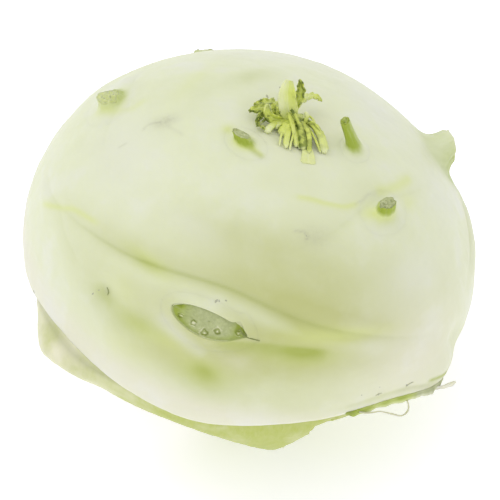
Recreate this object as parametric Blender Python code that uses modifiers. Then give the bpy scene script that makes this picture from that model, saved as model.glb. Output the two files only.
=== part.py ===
"""A kohlrabi that stands on its trimmed root end.

The globe is the swollen stem: a squat pale body with a lip low on its side, knife-cut green rind under
the lip, brow-like folds and leaf scars, and the stubs of its cut leaf stalks. The crown tuft is the bunch of
young leaves and cut stalks at the growing tip. Metres, +Z up, origin in the middle of the flat that the
globe stands on.
"""

import math

import bmesh
import bpy
import numpy as np
from mathutils import Matrix, Vector

MM = 0.001

# The globe: a squat ellipsoid whose growth axis leans towards +X
GLOBE_WIDTH = 130 * MM
GLOBE_HEIGHT = 102 * MM
LEAN = math.radians(14)
REST_HEIGHT = 45 * MM
FLAT_SHIFT = -5 * MM
COLUMNS = 84
SKIN_ROWS = 25

# The lip, where the pale body ends and the green rind starts: its elevation from the globe's middle, in
# degrees, and the waves in it by azimuth, width and height
LIP_LEVEL = -6.0
LIP_WAVES = ((-148, 24, 8.5), (-103, 12, -2.2), (-40, 14, -4.5), (-29, 7, -5.0), (60, 40, 2.0), (140, 25, -1.5))

# The underside of the pale body inside the lip: share of the lip's reach, and how far below the lip
UNDERSIDE = (
    (0.994, 0.5 * MM),
    (0.975, 0.9 * MM),
    (0.93, 1.6 * MM),
    (0.7, 5 * MM),
    (0.4, 9 * MM),
    (0.0, 12 * MM),
)

# The rind under the lip, and the flap of it that stands proud on the left
RIND_ROWS = 18
RIND_DEPTH = -1.8 * MM
RIND_TUCK = -9 * MM
FLAP_HEIGHT = 7.6 * MM
FLAP_AT = (-143.5, -6)
FLAP_SIZE = (12.5, 7)

# Knife cuts in the rind: azimuth of the cut face, its tilt below level, its distance from the globe's middle,
# and how far the blade's two ends reach to either side
KNIFE_CUTS = (
    (-134, 43, 52.2 * MM, -90 * MM, 90 * MM),
    (-120, 47, 49.8 * MM, -90 * MM, 90 * MM),
    (-42, 40, 49.0 * MM, -90 * MM, -26 * MM),
    (-65, 48, 49.6 * MM, -10 * MM, 90 * MM),
    (-20, 46, 52.5 * MM, -90 * MM, 90 * MM),
    (48, 55, 50.5 * MM, -90 * MM, 90 * MM),
    (104, 49, 52.0 * MM, -90 * MM, 90 * MM),
    (168, 50, 50.0 * MM, -90 * MM, 90 * MM),
)
KNIFE_BLOCK = 120 * MM

# Edges sharper than this stay sharp in the shading
SHARP_ANGLE = math.radians(32)

# The crown dimple and the seat of the tuft in it
DIMPLE_DEPTH = 2.6 * MM
DIMPLE_RADIUS = 10 * MM
CORE_RADIUS = 3.6 * MM
CORE_DEPTH = 3 * MM
CORE_HEIGHT = 3 * MM
CORE_TOP = 0.62
GAP = 0.35 * MM

# Brow-like folds over leaf bases: azimuth, latitude, reach to each side, rise over the base, droop, depth
FOLDS = (
    (-105, 25, 44 * MM, 11.6 * MM, 3.9 * MM, 1.3 * MM),
    (-45, 57, 26 * MM, 3.5 * MM, 3.0 * MM, 0.3 * MM),
    (163, 40, 20 * MM, 5.0 * MM, 2.0 * MM, 0.6 * MM),
    (-163, 16, 18 * MM, 5.0 * MM, 2.0 * MM, 0.2 * MM),
    (70, 30, 36 * MM, 7.5 * MM, 3.0 * MM, 1.2 * MM),
    (128, 14, 30 * MM, 6.5 * MM, 2.5 * MM, 0.9 * MM),
    (14, 22, 26 * MM, 6.0 * MM, 3.0 * MM, 0.8 * MM),
)
CREASE_WIDTH = 2.4 * MM
CREST_SHARE = 0.43

# Soft hollows (negative) and swellings: azimuth, latitude, half sizes east and north, height
SOFT_SPOTS = (
    (-134, 17, 6 * MM, 5 * MM, -0.9 * MM),
    (-104, 10, 8 * MM, 5 * MM, -0.8 * MM),
    (-76, 22, 15 * MM, 4.5 * MM, -1.2 * MM),
    (-125, 13, 13 * MM, 6 * MM, -0.6 * MM),
    (-92, 17, 26 * MM, 7 * MM, 0.9 * MM),
    (-173, 57, 6 * MM, 2.5 * MM, -0.5 * MM),
    (-81, 53, 5 * MM, 4 * MM, 0.5 * MM),
    (12, 62, 18 * MM, 12 * MM, -1.0 * MM),
    (105, 30, 14 * MM, 9 * MM, -0.8 * MM),
    (40, 6, 16 * MM, 8 * MM, 0.8 * MM),
    (150, 28, 12 * MM, 10 * MM, 0.7 * MM),
    (76, 42, 24 * MM, 13 * MM, 0.9 * MM),
    (-38, 0, 10 * MM, 9 * MM, 2.6 * MM),
    (-26, 6, 4 * MM, 5 * MM, -1.2 * MM),
)

# Lens-shaped scars of whole leaves: name, azimuth, latitude, length, height, turn in degrees, depth
LENS_SCARS = (
    ("front", -106, 25.0, 21 * MM, 8.4 * MM, -1, 1.4 * MM),
    ("back", 70, 30.0, 16 * MM, 6.4 * MM, 4, 1.1 * MM),
    ("rear_left", 128, 14.0, 14 * MM, 5.6 * MM, -5, 1.0 * MM),
)

# Cut stalk stubs: name, azimuth, latitude, width, thickness, length, lean east and north, slope of the cut
STALK_STUBS = (
    ("left_crown", -134, 73, 5.0 * MM, 3.6 * MM, 3.2 * MM, -34, -12, 0.5),
    ("right_crown", -23, 73.5, 3.8 * MM, 3.0 * MM, 7.2 * MM, -9, 45, 0.3),
    ("shoulder", -42, 56.5, 6.4 * MM, 4.6 * MM, 3.4 * MM, 3, 30, 0.4),
    ("right_side", 22, 37.5, 11.0 * MM, 7.0 * MM, 4.2 * MM, -2, 6, -0.45),
    ("upper_left", 165, 40.5, 7.4 * MM, 5.6 * MM, 2.4 * MM, -8, -8, 0.3),
    ("back_shoulder", 110, 29, 7.6 * MM, 5.0 * MM, 4.0 * MM, -6, 0, 0.3),
    ("back_side", 62, 8, 8.6 * MM, 5.4 * MM, 3.4 * MM, 4, 12, 0.3),
    ("back_left", 146, -2, 7.4 * MM, 5.0 * MM, 2.6 * MM, -4, 6, 0.3),
)
STUB_ROOT = 3 * MM
STUB_FLARE = 1.55

# Stalks of the tuft, in millimetres in the crown's own frame: three points of the run, each with its height
# over the skin, and the radius at both ends
STALKS = (
    ((-1.0, -2.3, 1.9), (-2.6, -6.4, 4.0), (-4.2, -9.8, 2.2), 1.1, 1.3),
    ((-0.2, -2.4, 1.9), (-1.8, -8.6, 4.2), (-2.4, -14.6, 2.0), 1.1, 1.2),
    ((0.6, -2.4, 2.0), (0.8, -9.0, 4.4), (0.2, -14.2, 2.0), 1.0, 1.1),
    ((1.0, -2.2, 2.1), (2.0, -8.6, 5.6), (2.8, -14.4, 2.2), 1.2, 1.3),
    ((1.6, -1.8, 2.1), (3.8, -9.0, 5.2), (4.2, -18.2, 2.0), 1.2, 1.8),
    ((2.0, -1.2, 2.0), (6.8, -5.6, 4.8), (8.6, -13.8, 2.0), 1.1, 1.3),
    ((2.0, 0.8, 2.0), (5.6, 3.0, 3.4), (8.4, 3.4, 2.8), 0.7, 0.6),
)

# Blades of the tuft, likewise: root and tip, half width, twist in degrees, lobes, ruffle, curl
BLADES = (
    ((0.6, -3.0, 1.8), (-3.8, 1.2, 12.2), 2.8, 20, 0, 0.5, 1.0),
    ((1.4, -0.6, 1.8), (0.6, 4.4, 10.2), 2.4, -30, 4, 0.8, -1.8),
    ((-1.2, 0.0, 2.0), (-10.4, 1.2, 3.6), 3.2, 12, 5, 0.9, 1.0),
    ((-1.4, -1.2, 2.0), (-12.2, -3.4, 3.0), 3.0, -8, 5, 1.0, 1.2),
    ((-1.6, -1.8, 2.0), (-8.6, -7.0, 2.8), 2.4, -25, 4, 0.8, 0.8),
    ((0.6, 1.0, 2.0), (3.4, 7.4, 5.8), 2.4, 15, 5, 0.8, -1.2),
)
BLADE_THICKNESS = 0.8
BLADE_STEPS = 9
BLADE_CROSS = 6

HALF_AXES = np.array([GLOBE_WIDTH, GLOBE_WIDTH, GLOBE_HEIGHT]) / 2
TILT = np.array(Matrix.Rotation(LEAN, 3, "Y"))
MIDDLE = np.array([FLAT_SHIFT, 0.0, REST_HEIGHT])


def clear_scene():
    """Removes every object that the scene starts with."""
    for obj in list(bpy.data.objects):
        bpy.data.objects.remove(obj, do_unlink=True)


def new_collection(name, hidden=False):
    """A collection linked to the scene; a hidden one holds cutters."""
    collection = bpy.data.collections.new(name)
    bpy.context.scene.collection.children.link(collection)
    collection.hide_render = hidden
    return collection


def new_material(name, colour, roughness):
    """A plain Principled material."""
    material = bpy.data.materials.new(name)
    material.use_nodes = True
    shader = material.node_tree.nodes["Principled BSDF"]
    shader.inputs["Base Color"].default_value = (*colour, 1.0)
    shader.inputs["Roughness"].default_value = roughness
    shader.inputs["Metallic"].default_value = 0.0
    return material


def directions(azimuth, elevation):
    """Unit vectors at these angles in degrees, one row each."""
    azimuth, elevation = np.broadcast_arrays(np.radians(azimuth), np.radians(elevation))
    level = np.cos(elevation)
    return np.stack([level * np.cos(azimuth), level * np.sin(azimuth), np.sin(elevation)], axis=-1)


def local_plane(own, azimuth, latitude):
    """How far directions in the globe's own frame lie east and north of a place, and which are near it."""
    place = directions(azimuth, latitude)
    east = directions(azimuth + 90, 0)
    north = np.cross(place, east)
    radius = HALF_AXES[0]
    return own @ east * radius, own @ north * radius, own @ place > 0.2


def bell(value):
    return np.exp(-(value**2))


def fold_relief(own, azimuth, latitude, reach, rise, droop, depth):
    """A crease over a leaf base, and under it the low swelling that carries the base."""
    east, north, near = local_plane(own, azimuth, latitude)
    above = north - rise + droop * (1 - bell(east / (CREST_SHARE * reach)))
    crease = -0.8 * depth * bell(above / CREASE_WIDTH)
    swelling = depth * bell((above + 0.75 * rise) / (0.6 * rise))
    return near * (crease + swelling) * np.exp(-((east / reach) ** 4))


def spot_relief(own, azimuth, latitude, half_east, half_north, height):
    """A soft round hollow or swelling."""
    east, north, near = local_plane(own, azimuth, latitude)
    return near * height * bell(east / half_east) * bell(north / half_north)


def skin_relief(own):
    """Height of the pale skin over the plain ellipsoid."""
    from_crown = np.hypot(own[..., 0], own[..., 1]) * HALF_AXES[0]
    relief = -DIMPLE_DEPTH * bell(from_crown / DIMPLE_RADIUS) * (own[..., 2] > 0)
    for fold in FOLDS:
        relief += fold_relief(own, *fold)
    for spot in SOFT_SPOTS:
        relief += spot_relief(own, *spot)
    return relief


def angle_from(azimuth, place):
    """The shorter way round from one azimuth to another, in degrees."""
    return (azimuth - place + 180) % 360 - 180


def lip_elevation(azimuth):
    """Elevation of the lip at an azimuth."""
    waves = sum(height * bell(angle_from(azimuth, place) / width) for place, width, height in LIP_WAVES)
    return LIP_LEVEL + waves


def rind_relief(azimuth, elevation):
    """Height of the green rind: just under the skin's level, and proud where the flap stands."""
    flap = bell(angle_from(azimuth, FLAP_AT[0]) / FLAP_SIZE[0]) * bell((elevation - FLAP_AT[1]) / FLAP_SIZE[1])
    return RIND_DEPTH + FLAP_HEIGHT * flap


def globe_point(azimuth, elevation, height):
    """The place that lies `height` over the plain ellipsoid, in a direction given by two angles."""
    own = directions(azimuth, elevation) @ TILT
    normal = own / HALF_AXES
    normal /= np.linalg.norm(normal)
    return TILT @ (own * HALF_AXES + normal * height) + MIDDLE


def skin_point(azimuth, elevation):
    return globe_point(azimuth, elevation, skin_relief(directions(azimuth, elevation) @ TILT))


def body_point(azimuth, row):
    """One vertex of the pale body: its skin down to the lip, then the underside."""
    lip = lip_elevation(azimuth)
    if row <= SKIN_ROWS:
        return skin_point(azimuth, 90 - (90 - lip) * row / SKIN_ROWS)
    share, drop = UNDERSIDE[row - SKIN_ROWS - 1]
    edge = skin_point(azimuth, lip)
    flat = MIDDLE + (edge - MIDDLE) * share
    return np.array([flat[0], flat[1], MIDDLE[2] + (edge[2] - MIDDLE[2]) * share - drop])


def rind_point(azimuth, row):
    """One vertex of the rind: tucked away inside the pale body down to the lip, then the green surface."""
    lip = lip_elevation(azimuth)
    if row < 2:
        return globe_point(azimuth, 90 - row * (80 - lip), RIND_TUCK)
    elevation = lip + 1 - (91 + lip) * (row - 2) / (RIND_ROWS - 2)
    return globe_point(azimuth, elevation, rind_relief(azimuth, elevation))


def sphere_form(name, collection, rows, point):
    """A UV sphere whose vertices are moved to where a rule of azimuth and row puts them."""
    mesh = bpy.data.meshes.new(name)
    form = bmesh.new()
    bmesh.ops.create_uvsphere(form, u_segments=COLUMNS, v_segments=rows, radius=1)
    for vertex in form.verts:
        azimuth = math.degrees(math.atan2(vertex.co.y, vertex.co.x))
        row = round(math.degrees(math.acos(max(-1.0, min(1.0, vertex.co.z)))) / 180 * rows)
        vertex.co = point(azimuth, row)
    form.to_mesh(mesh)
    form.free()
    mesh.shade_smooth()
    obj = bpy.data.objects.new(name, mesh)
    collection.objects.link(obj)
    return obj


def seat_matrix(azimuth, latitude):
    """A frame on the skin: X east, Y north towards the crown, Z straight out."""
    own = directions(azimuth, latitude)
    normal = own / HALF_AXES
    normal /= np.linalg.norm(normal)
    east = directions(azimuth + 90, 0)
    north = np.cross(normal, east)
    rotation = Matrix(TILT @ np.stack([east, north, normal], axis=1)).to_4x4()
    place = TILT @ (own * HALF_AXES + normal * float(skin_relief(own))) + MIDDLE
    return Matrix.Translation(Vector(place)) @ rotation


def tube_mesh(name, points, radii):
    """A closed mesh round a run of points, with a radius at each."""
    curve = bpy.data.curves.new(name, "CURVE")
    curve.dimensions = "3D"
    curve.bevel_depth = 1.0
    curve.bevel_resolution = 2
    curve.use_fill_caps = True
    spline = curve.splines.new("POLY")
    spline.points.add(len(points) - 1)
    for knot, point, radius in zip(spline.points, points, radii):
        knot.co = (*point, 1.0)
        knot.radius = radius
    guide = bpy.data.objects.new(name, curve)
    bpy.context.scene.collection.objects.link(guide)
    graph = bpy.context.evaluated_depsgraph_get()
    mesh = bpy.data.meshes.new_from_object(guide.evaluated_get(graph))
    bpy.data.objects.remove(guide, do_unlink=True)
    bpy.data.curves.remove(curve)
    form = bmesh.new()
    form.from_mesh(mesh)
    bmesh.ops.remove_doubles(form, verts=form.verts, dist=0.00001)
    bmesh.ops.recalc_face_normals(form, faces=form.faces)
    form.to_mesh(mesh)
    form.free()
    return mesh


def stalk_stub(collection, name, azimuth, latitude, width, thickness, length, east_lean, north_lean, slope):
    """The stub of a cut leaf stalk: a flared foot sunk in the skin, an oval neck and a slanting cut."""
    half = width / 2
    side = Vector((math.tan(math.radians(east_lean)), math.tan(math.radians(north_lean)), 0.0))
    heights = (-STUB_ROOT, -0.2 * length, 0.15 * length, 0.45 * length, length)
    radii = (STUB_FLARE * half, STUB_FLARE * half, 1.15 * half, half, 0.95 * half)
    points = [Vector((0, 0, height)) for height in heights]
    mesh = tube_mesh(name, points, radii)
    for vertex in mesh.vertices:
        height = vertex.co.z
        vertex.co.y *= thickness / width
        if height > 0:
            vertex.co.z -= slope * (half * 0.5 + vertex.co.y) * height / length
        vertex.co += side * height
    mesh.transform(seat_matrix(azimuth, latitude))
    stub = bpy.data.objects.new("stub_" + name, mesh)
    collection.objects.link(stub)


def add_boolean(target, operation, other, solver="EXACT"):
    """A Boolean modifier with one object or a whole collection."""
    modifier = target.modifiers.new(operation.lower(), "BOOLEAN")
    modifier.operation = operation
    modifier.solver = solver
    if isinstance(other, bpy.types.Collection):
        modifier.operand_type = "COLLECTION"
        modifier.collection = other
    else:
        modifier.object = other


def apply_modifiers(obj):
    """Replaces an object's mesh with its evaluated one."""
    graph = bpy.context.evaluated_depsgraph_get()
    mesh = bpy.data.meshes.new_from_object(obj.evaluated_get(graph))
    obj.modifiers.clear()
    obj.data = mesh


def keep_outer_shell(mesh):
    """Keeps the largest connected shell: inner ones would be sealed hollows, and small ones loose scraps."""
    form = bmesh.new()
    form.from_mesh(mesh)
    waiting = set(form.verts)
    shells = []
    while waiting:
        shell, edge = set(), [waiting.pop()]
        while edge:
            vertex = edge.pop()
            shell.add(vertex)
            linked = {link.other_vert(vertex) for link in vertex.link_edges} & waiting
            waiting -= linked
            edge.extend(linked)
        shells.append(shell)
    largest = max(shells, key=len)
    bmesh.ops.delete(form, geom=[vertex for vertex in form.verts if vertex not in largest], context="VERTS")
    form.to_mesh(mesh)
    form.free()


def fuse(target, collection, solver="EXACT"):
    """Joins a collection's objects into one body with the target, then removes them."""
    add_boolean(target, "UNION", collection, solver)
    apply_modifiers(target)
    keep_outer_shell(target.data)
    for obj in list(collection.objects):
        bpy.data.objects.remove(obj, do_unlink=True)
    bpy.data.collections.remove(collection)


def add_cutter(collection, mesh, matrix, name):
    """A hidden cutter."""
    cutter = bpy.data.objects.new(name, mesh)
    cutter.matrix_world = matrix
    cutter.hide_render = True
    cutter.display_type = "WIRE"
    collection.objects.link(cutter)
    return cutter


def cone_mesh(name, foot_radius, top_radius, foot, top):
    """A round block between two heights, straight or tapered."""
    mesh = bpy.data.meshes.new(name)
    form = bmesh.new()
    bmesh.ops.create_cone(
        form, cap_ends=True, segments=24, radius1=foot_radius, radius2=top_radius, depth=top - foot
    )
    bmesh.ops.translate(form, verts=form.verts, vec=(0, 0, (top + foot) / 2))
    form.to_mesh(mesh)
    form.free()
    return mesh


def block_mesh(name, size):
    """A cube that stands on its own XY plane."""
    mesh = bpy.data.meshes.new(name)
    form = bmesh.new()
    bmesh.ops.create_cube(form, size=size)
    bmesh.ops.translate(form, verts=form.verts, vec=(0, 0, size / 2))
    form.to_mesh(mesh)
    form.free()
    return mesh


def lens_mesh(name, length, height, depth):
    """A lens-shaped block of two arcs, standing half its depth each side of the XY plane."""
    steps = 7
    side = [(length * (i / steps - 0.5), i / steps) for i in range(steps + 1)]
    upper = [(x, 0.5 * height * math.sin(math.pi * t) ** 0.8) for x, t in side]
    lower = [(x, -0.5 * height * math.sin(math.pi * t) ** 0.8) for x, t in side[1:-1]]
    mesh = bpy.data.meshes.new(name)
    form = bmesh.new()
    rim = [form.verts.new((x, y, -depth)) for x, y in lower + upper[::-1]]
    floor = form.faces.new(rim)
    walls = bmesh.ops.extrude_face_region(form, geom=[floor])
    top = [item for item in walls["geom"] if isinstance(item, bmesh.types.BMVert)]
    bmesh.ops.translate(form, verts=top, vec=(0, 0, 6 * depth))
    bmesh.ops.recalc_face_normals(form, faces=form.faces)
    form.to_mesh(mesh)
    form.free()
    return mesh


def cut_rind(rind, cutters):
    """The knife cuts round the root end, and the flat that the globe stands on."""
    for index, (azimuth, tilt, distance, start, end) in enumerate(KNIFE_CUTS):
        outward = Vector(directions(azimuth, -tilt))
        level = Vector(directions(azimuth + 90, 0))
        turn = Matrix((level, outward.cross(level), outward)).transposed().to_4x4()
        shift = outward * distance + level * (start + end) / 2
        block = block_mesh("knife", KNIFE_BLOCK)
        block.transform(Matrix.Diagonal(((end - start) / KNIFE_BLOCK, 1, 1, 1)))
        place = Matrix.Translation(Vector(MIDDLE) + shift) @ turn
        add_boolean(rind, "DIFFERENCE", add_cutter(cutters, block, place, f"knife_{index}"))
    floor = block_mesh("floor_cut", 2 * KNIFE_BLOCK)
    add_boolean(rind, "DIFFERENCE", add_cutter(cutters, floor, Matrix.Rotation(math.pi, 4, "X"), "floor_cut"))
    apply_modifiers(rind)


def cut_skin(globe, cutters):
    """The lens scars and the seat of the tuft."""
    for name, azimuth, latitude, length, height, turn, depth in LENS_SCARS:
        seat = seat_matrix(azimuth, latitude) @ Matrix.Rotation(math.radians(turn), 4, "Z")
        scar = add_cutter(cutters, lens_mesh("scar", length, height, depth), seat, "scar_" + name)
        add_boolean(globe, "DIFFERENCE", scar)
    radius = CORE_RADIUS + GAP
    seat = cone_mesh("tuft_seat", radius, radius, -CORE_DEPTH - GAP, CORE_DEPTH)
    add_boolean(globe, "DIFFERENCE", add_cutter(cutters, seat, crown_matrix(), "tuft_seat"))


def make_globe(collection, cutters):
    """The whole swollen stem: pale body, rind and stubs in one, with the scars and the seat cut in it."""
    globe = sphere_form("globe", collection, SKIN_ROWS + len(UNDERSIDE), body_point)
    growths = new_collection("growths")
    cut_rind(sphere_form("rind", growths, RIND_ROWS, rind_point), cutters)
    for stub in STALK_STUBS:
        stalk_stub(growths, *stub)
    fuse(globe, growths)
    cut_skin(globe, cutters)
    apply_modifiers(globe)
    globe.data.shade_smooth()
    globe.data.set_sharp_from_angle(angle=SHARP_ANGLE)
    globe.data.materials.append(new_material("pale_skin", (0.63, 0.68, 0.40), 0.45))
    return globe


def crown_matrix():
    """The crown's frame: X and Y across the growth axis, Z along it, origin on the dimple's floor."""
    return seat_matrix(-90, 90)


def lay_on_crown(mesh):
    """Lifts a mesh in millimetres from a level floor on to the dimple's bowl, then places it at the crown."""
    bowl = GLOBE_HEIGHT / GLOBE_WIDTH**2 / MM
    for vertex in mesh.vertices:
        out = math.hypot(vertex.co.x, vertex.co.y)
        rise = DIMPLE_DEPTH / MM * (1 - bell(out * MM / DIMPLE_RADIUS))
        vertex.co.z += rise - bowl * out**2 * MM**2
    mesh.transform(crown_matrix() @ Matrix.Scale(MM, 4))


def stalk(collection, name, foot, middle, end, foot_radius, end_radius):
    """A cut leaf stalk: a tube bent along three points."""
    foot, middle, end = Vector(foot), Vector(middle), Vector(end)
    points = []
    radii = []
    for step in range(5):
        t = step / 4
        points.append(foot * (1 - t) ** 2 + 2 * middle * t * (1 - t) + end * t**2)
        radii.append(foot_radius + (end_radius - foot_radius) * t)
    mesh = tube_mesh(name, points, radii)
    lay_on_crown(mesh)
    collection.objects.link(bpy.data.objects.new(name, mesh))


def blade(collection, name, root, tip, half_width, twist, lobes, ruffle, curl):
    """A young leaf: an arched, waved and lobed sheet with a little thickness."""
    root, tip = Vector(root), Vector(tip)
    along = (tip - root).normalized()
    across = Matrix.Rotation(math.radians(twist), 3, along) @ along.cross(Vector((0, 0.3, 1))).normalized()
    out = across.cross(along)
    mesh = bpy.data.meshes.new(name)
    form = bmesh.new()
    bmesh.ops.create_grid(form, x_segments=BLADE_CROSS, y_segments=BLADE_STEPS, size=1)
    for vertex in form.verts:
        side, t = vertex.co.x, (vertex.co.y + 1) / 2
        taper = 0.25 + 0.75 * math.sin(math.pi * min(1.0, t * 0.95 + 0.05)) ** 0.7
        notch = 1 - 0.28 * abs(side) * (math.sin(math.pi * lobes * t) ** 2 if lobes else 0)
        width = half_width * taper * notch
        wave = ruffle * side**2 * math.sin(2.2 * math.pi * (lobes or 1) * t + 2 * side)
        arch = curl * math.sin(math.pi * t) - 0.35 * half_width * (1 - side**2)
        vertex.co = root.lerp(tip, t) + across * side * width + out * (wave + arch)
    bmesh.ops.triangulate(form, faces=form.faces)
    form.to_mesh(mesh)
    form.free()
    leaf = bpy.data.objects.new(name, mesh)
    collection.objects.link(leaf)
    shell = leaf.modifiers.new("thickness", "SOLIDIFY")
    shell.thickness = BLADE_THICKNESS
    shell.offset = 0
    apply_modifiers(leaf)
    lay_on_crown(leaf.data)


def make_tuft(collection):
    """The crown tuft: stalks and blades with their roots sunk in one short core."""
    mesh = cone_mesh("crown_tuft", CORE_RADIUS, CORE_TOP * CORE_RADIUS, -CORE_DEPTH, CORE_HEIGHT)
    mesh.transform(crown_matrix())
    tuft = bpy.data.objects.new("crown_tuft", mesh)
    collection.objects.link(tuft)
    pieces = new_collection("tuft_pieces")
    for index, run in enumerate(STALKS):
        stalk(pieces, f"stalk_{index}", *run)
    for index, leaf in enumerate(BLADES):
        blade(pieces, f"blade_{index}", *leaf)
    fuse(tuft, pieces, "MANIFOLD")
    tuft.data.materials.clear()
    tuft.data.materials.append(new_material("young_leaf", (0.36, 0.43, 0.06), 0.5))
    return tuft


def main():
    clear_scene()
    kohlrabi = new_collection("kohlrabi")
    cutters = new_collection("cutters", hidden=True)
    make_globe(kohlrabi, cutters)
    make_tuft(kohlrabi)


main()
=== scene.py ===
"""The looks of a kohlrabi that stands on its trimmed root end.

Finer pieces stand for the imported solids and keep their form: the pale skin with its folds, the knife-cut
rind under the lip, the leaf scars, the stubs of cut stalks and the tuft of young leaves at the crown. Shapes
are in millimetres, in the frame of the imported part.
"""

import math

import bmesh
import bpy
import numpy as np
from mathutils import Matrix, Vector


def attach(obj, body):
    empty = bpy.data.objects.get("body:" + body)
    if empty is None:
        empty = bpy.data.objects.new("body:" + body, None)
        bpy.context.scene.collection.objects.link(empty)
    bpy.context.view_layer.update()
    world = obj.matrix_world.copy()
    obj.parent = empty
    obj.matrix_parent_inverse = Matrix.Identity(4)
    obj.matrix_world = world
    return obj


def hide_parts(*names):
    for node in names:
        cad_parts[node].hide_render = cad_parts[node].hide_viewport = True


bl_info = {
    "name": "Kohlrabi",
    "version": (1, 0, 0),
    "blender": (4, 5, 0),
    "location": "3D View > Sidebar > Kohlrabi",
    "description": "Builds a kohlrabi with its skin, cut rind, leaf scars, stalk stubs and crown tuft",
    "category": "Add Mesh",
}

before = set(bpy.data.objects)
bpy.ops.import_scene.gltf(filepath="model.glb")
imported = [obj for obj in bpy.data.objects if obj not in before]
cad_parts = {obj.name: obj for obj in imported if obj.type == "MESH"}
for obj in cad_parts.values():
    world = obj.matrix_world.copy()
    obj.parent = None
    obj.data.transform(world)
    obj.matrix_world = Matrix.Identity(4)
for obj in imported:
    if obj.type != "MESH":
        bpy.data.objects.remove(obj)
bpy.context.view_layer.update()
MM = 0.001

# The globe's ellipsoid, its lean and where its middle lies
GLOBE_WIDTH = 130.0
GLOBE_HEIGHT = 102.0
LEAN = math.radians(14)
MIDDLE = np.array([-5.0, 0.0, 45.0])
HALF_AXES = np.array([GLOBE_WIDTH, GLOBE_WIDTH, GLOBE_HEIGHT]) / 2
TILT = np.array(Matrix.Rotation(LEAN, 3, "Y"))

# The lip: its elevation from the middle in degrees, and its waves by azimuth, width and height
LIP_LEVEL = -6.0
LIP_WAVES = (
    (-148, 24, 8.5),
    (-103, 12, -2.2),
    (-40, 14, -4.5),
    (-29, 7, -5.0),
    (60, 40, 2.0),
    (140, 25, -1.5),
)

# How far the skin rounds inwards at the lip, and the share of its rows where that starts
LIP_ROUNDING = 0.35
LIP_ROUNDING_FROM = 0.985

# The underside of the skin inside the lip: share of the lip's reach, and how far below the lip
UNDERSIDE = (
    (0.997, 0.15),
    (0.99, 0.5),
    (0.975, 0.9),
    (0.93, 1.6),
    (0.8, 3.3),
    (0.6, 6.0),
    (0.3, 10.0),
    (0.0, 12.0),
)

# How far the skin sinks where a scar or a stub covers it, how far beyond a scar's half sizes that reaches,
# and to what share of a stub's width
SUNK_DEPTH = 2.6
SUNK_MARGIN = 1.2
SUNK_STUB_SHARE = 0.9

# The rind: its height over the plain ellipsoid, how many degrees above the lip it starts, the elevation at
# which it ends, and the flap of it that stands proud
RIND_DEPTH = -1.8
RIND_OVERLAP = 4
RIND_BOTTOM = -89.5
FLAP_HEIGHT = 7.6
FLAP_AT = (-143.5, -6)
FLAP_SIZE = (12.5, 7)

# Knife cuts: azimuth of the cut face, its tilt below level, its distance from the middle and its reach to
# both sides
KNIFE_CUTS = (
    (-134, 43, 52.2, -90, 90),
    (-120, 47, 49.8, -90, 90),
    (-42, 40, 49.0, -90, -26),
    (-65, 48, 49.6, -10, 90),
    (-20, 46, 52.5, -90, 90),
    (48, 55, 50.5, -90, 90),
    (104, 49, 52.0, -90, 90),
    (168, 50, 50.0, -90, 90),
)
# The share of a ray that no cut face meets, the least depth that counts, how softly a cut ends at its sides,
# and how sharp the edges between cuts are with a rounding of 1 mm
NO_CUT = 3.0
SMALLEST = 1e-3
CUT_END = 1.6
CUT_SHARPNESS = 55.0
# Pale flesh in the rind, by azimuth: round the flap with its reach and softness, left of a place in the same
# way, and the front with its width, where none shows low down
FLAP_FLESH = (-140, 56, 34)
LEFT_FLESH = (-118, 6, 26)
FRONT_RIND = (-88, 52)

# How many waves a ripple sums, and what their sum is divided by to stay near -1 to 1
RIPPLE_WAVES = 14
RIPPLE_REACH = 5.2

# The crown dimple
DIMPLE_DEPTH = 2.6
DIMPLE_RADIUS = 10.0

# Brow-like folds over leaf bases: azimuth, latitude, reach to each side, rise over the base, droop, depth
FOLDS = (
    (-105, 25, 44, 11.6, 3.9, 1.3),
    (-45, 57, 26, 3.5, 3.0, 0.3),
    (163, 40, 20, 5.0, 2.0, 0.25),
    (-163, 16, 18, 5.0, 2.0, 0.2),
    (70, 30, 36, 7.5, 3.0, 1.2),
    (128, 14, 30, 6.5, 2.5, 0.9),
    (14, 22, 26, 6.0, 3.0, 0.8),
)
# Softness of a fold's crease, and the share of its reach over which its line rises to the crest
CREASE_WIDTH = 2.4
CREST_SHARE = 0.43

# Soft hollows (negative) and swellings: azimuth, latitude, half sizes east and north, height
SOFT_SPOTS = (
    (-134, 17, 6, 5, -0.9),
    (-104, 10, 8, 5, -0.8),
    (-76, 22, 15, 4.5, -1.2),
    (-125, 13, 13, 6, -0.6),
    (-92, 17, 26, 7, 0.9),
    (-173, 57, 6, 2.5, -0.5),
    (-81, 53, 5, 4, 0.5),
    (12, 62, 18, 12, -1.0),
    (105, 30, 14, 9, -0.8),
    (40, 6, 16, 8, 0.8),
    (150, 28, 12, 10, 0.7),
    (76, 42, 24, 13, 0.9),
    (-38, 0, 10, 9, 2.6),
    (-26, 6, 4, 5, -1.2),
    (-28, 10, 5, 5, -1.5),
    (-26, -5.5, 7, 4.5, 3.0),
)

# Leaf scars: name, azimuth, latitude, turn in degrees, length, rise of the upper edge, sag of the lower one,
# depth. A pale margin of the width below runs out from the edge into the skin
LEAF_SCARS = (
    ("front", -106.2, 25.0, -1, 21.6, 3.2, 5.0, 1.3),
    ("back", 70, 30.0, 4, 16.0, 3.1, 3.3, 1.1),
    ("rear_left", 128, 14.0, -5, 14.0, 2.7, 2.9, 1.0),
)
SCAR_MARGIN = 4.2
SCAR_COLUMNS = 120
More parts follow.
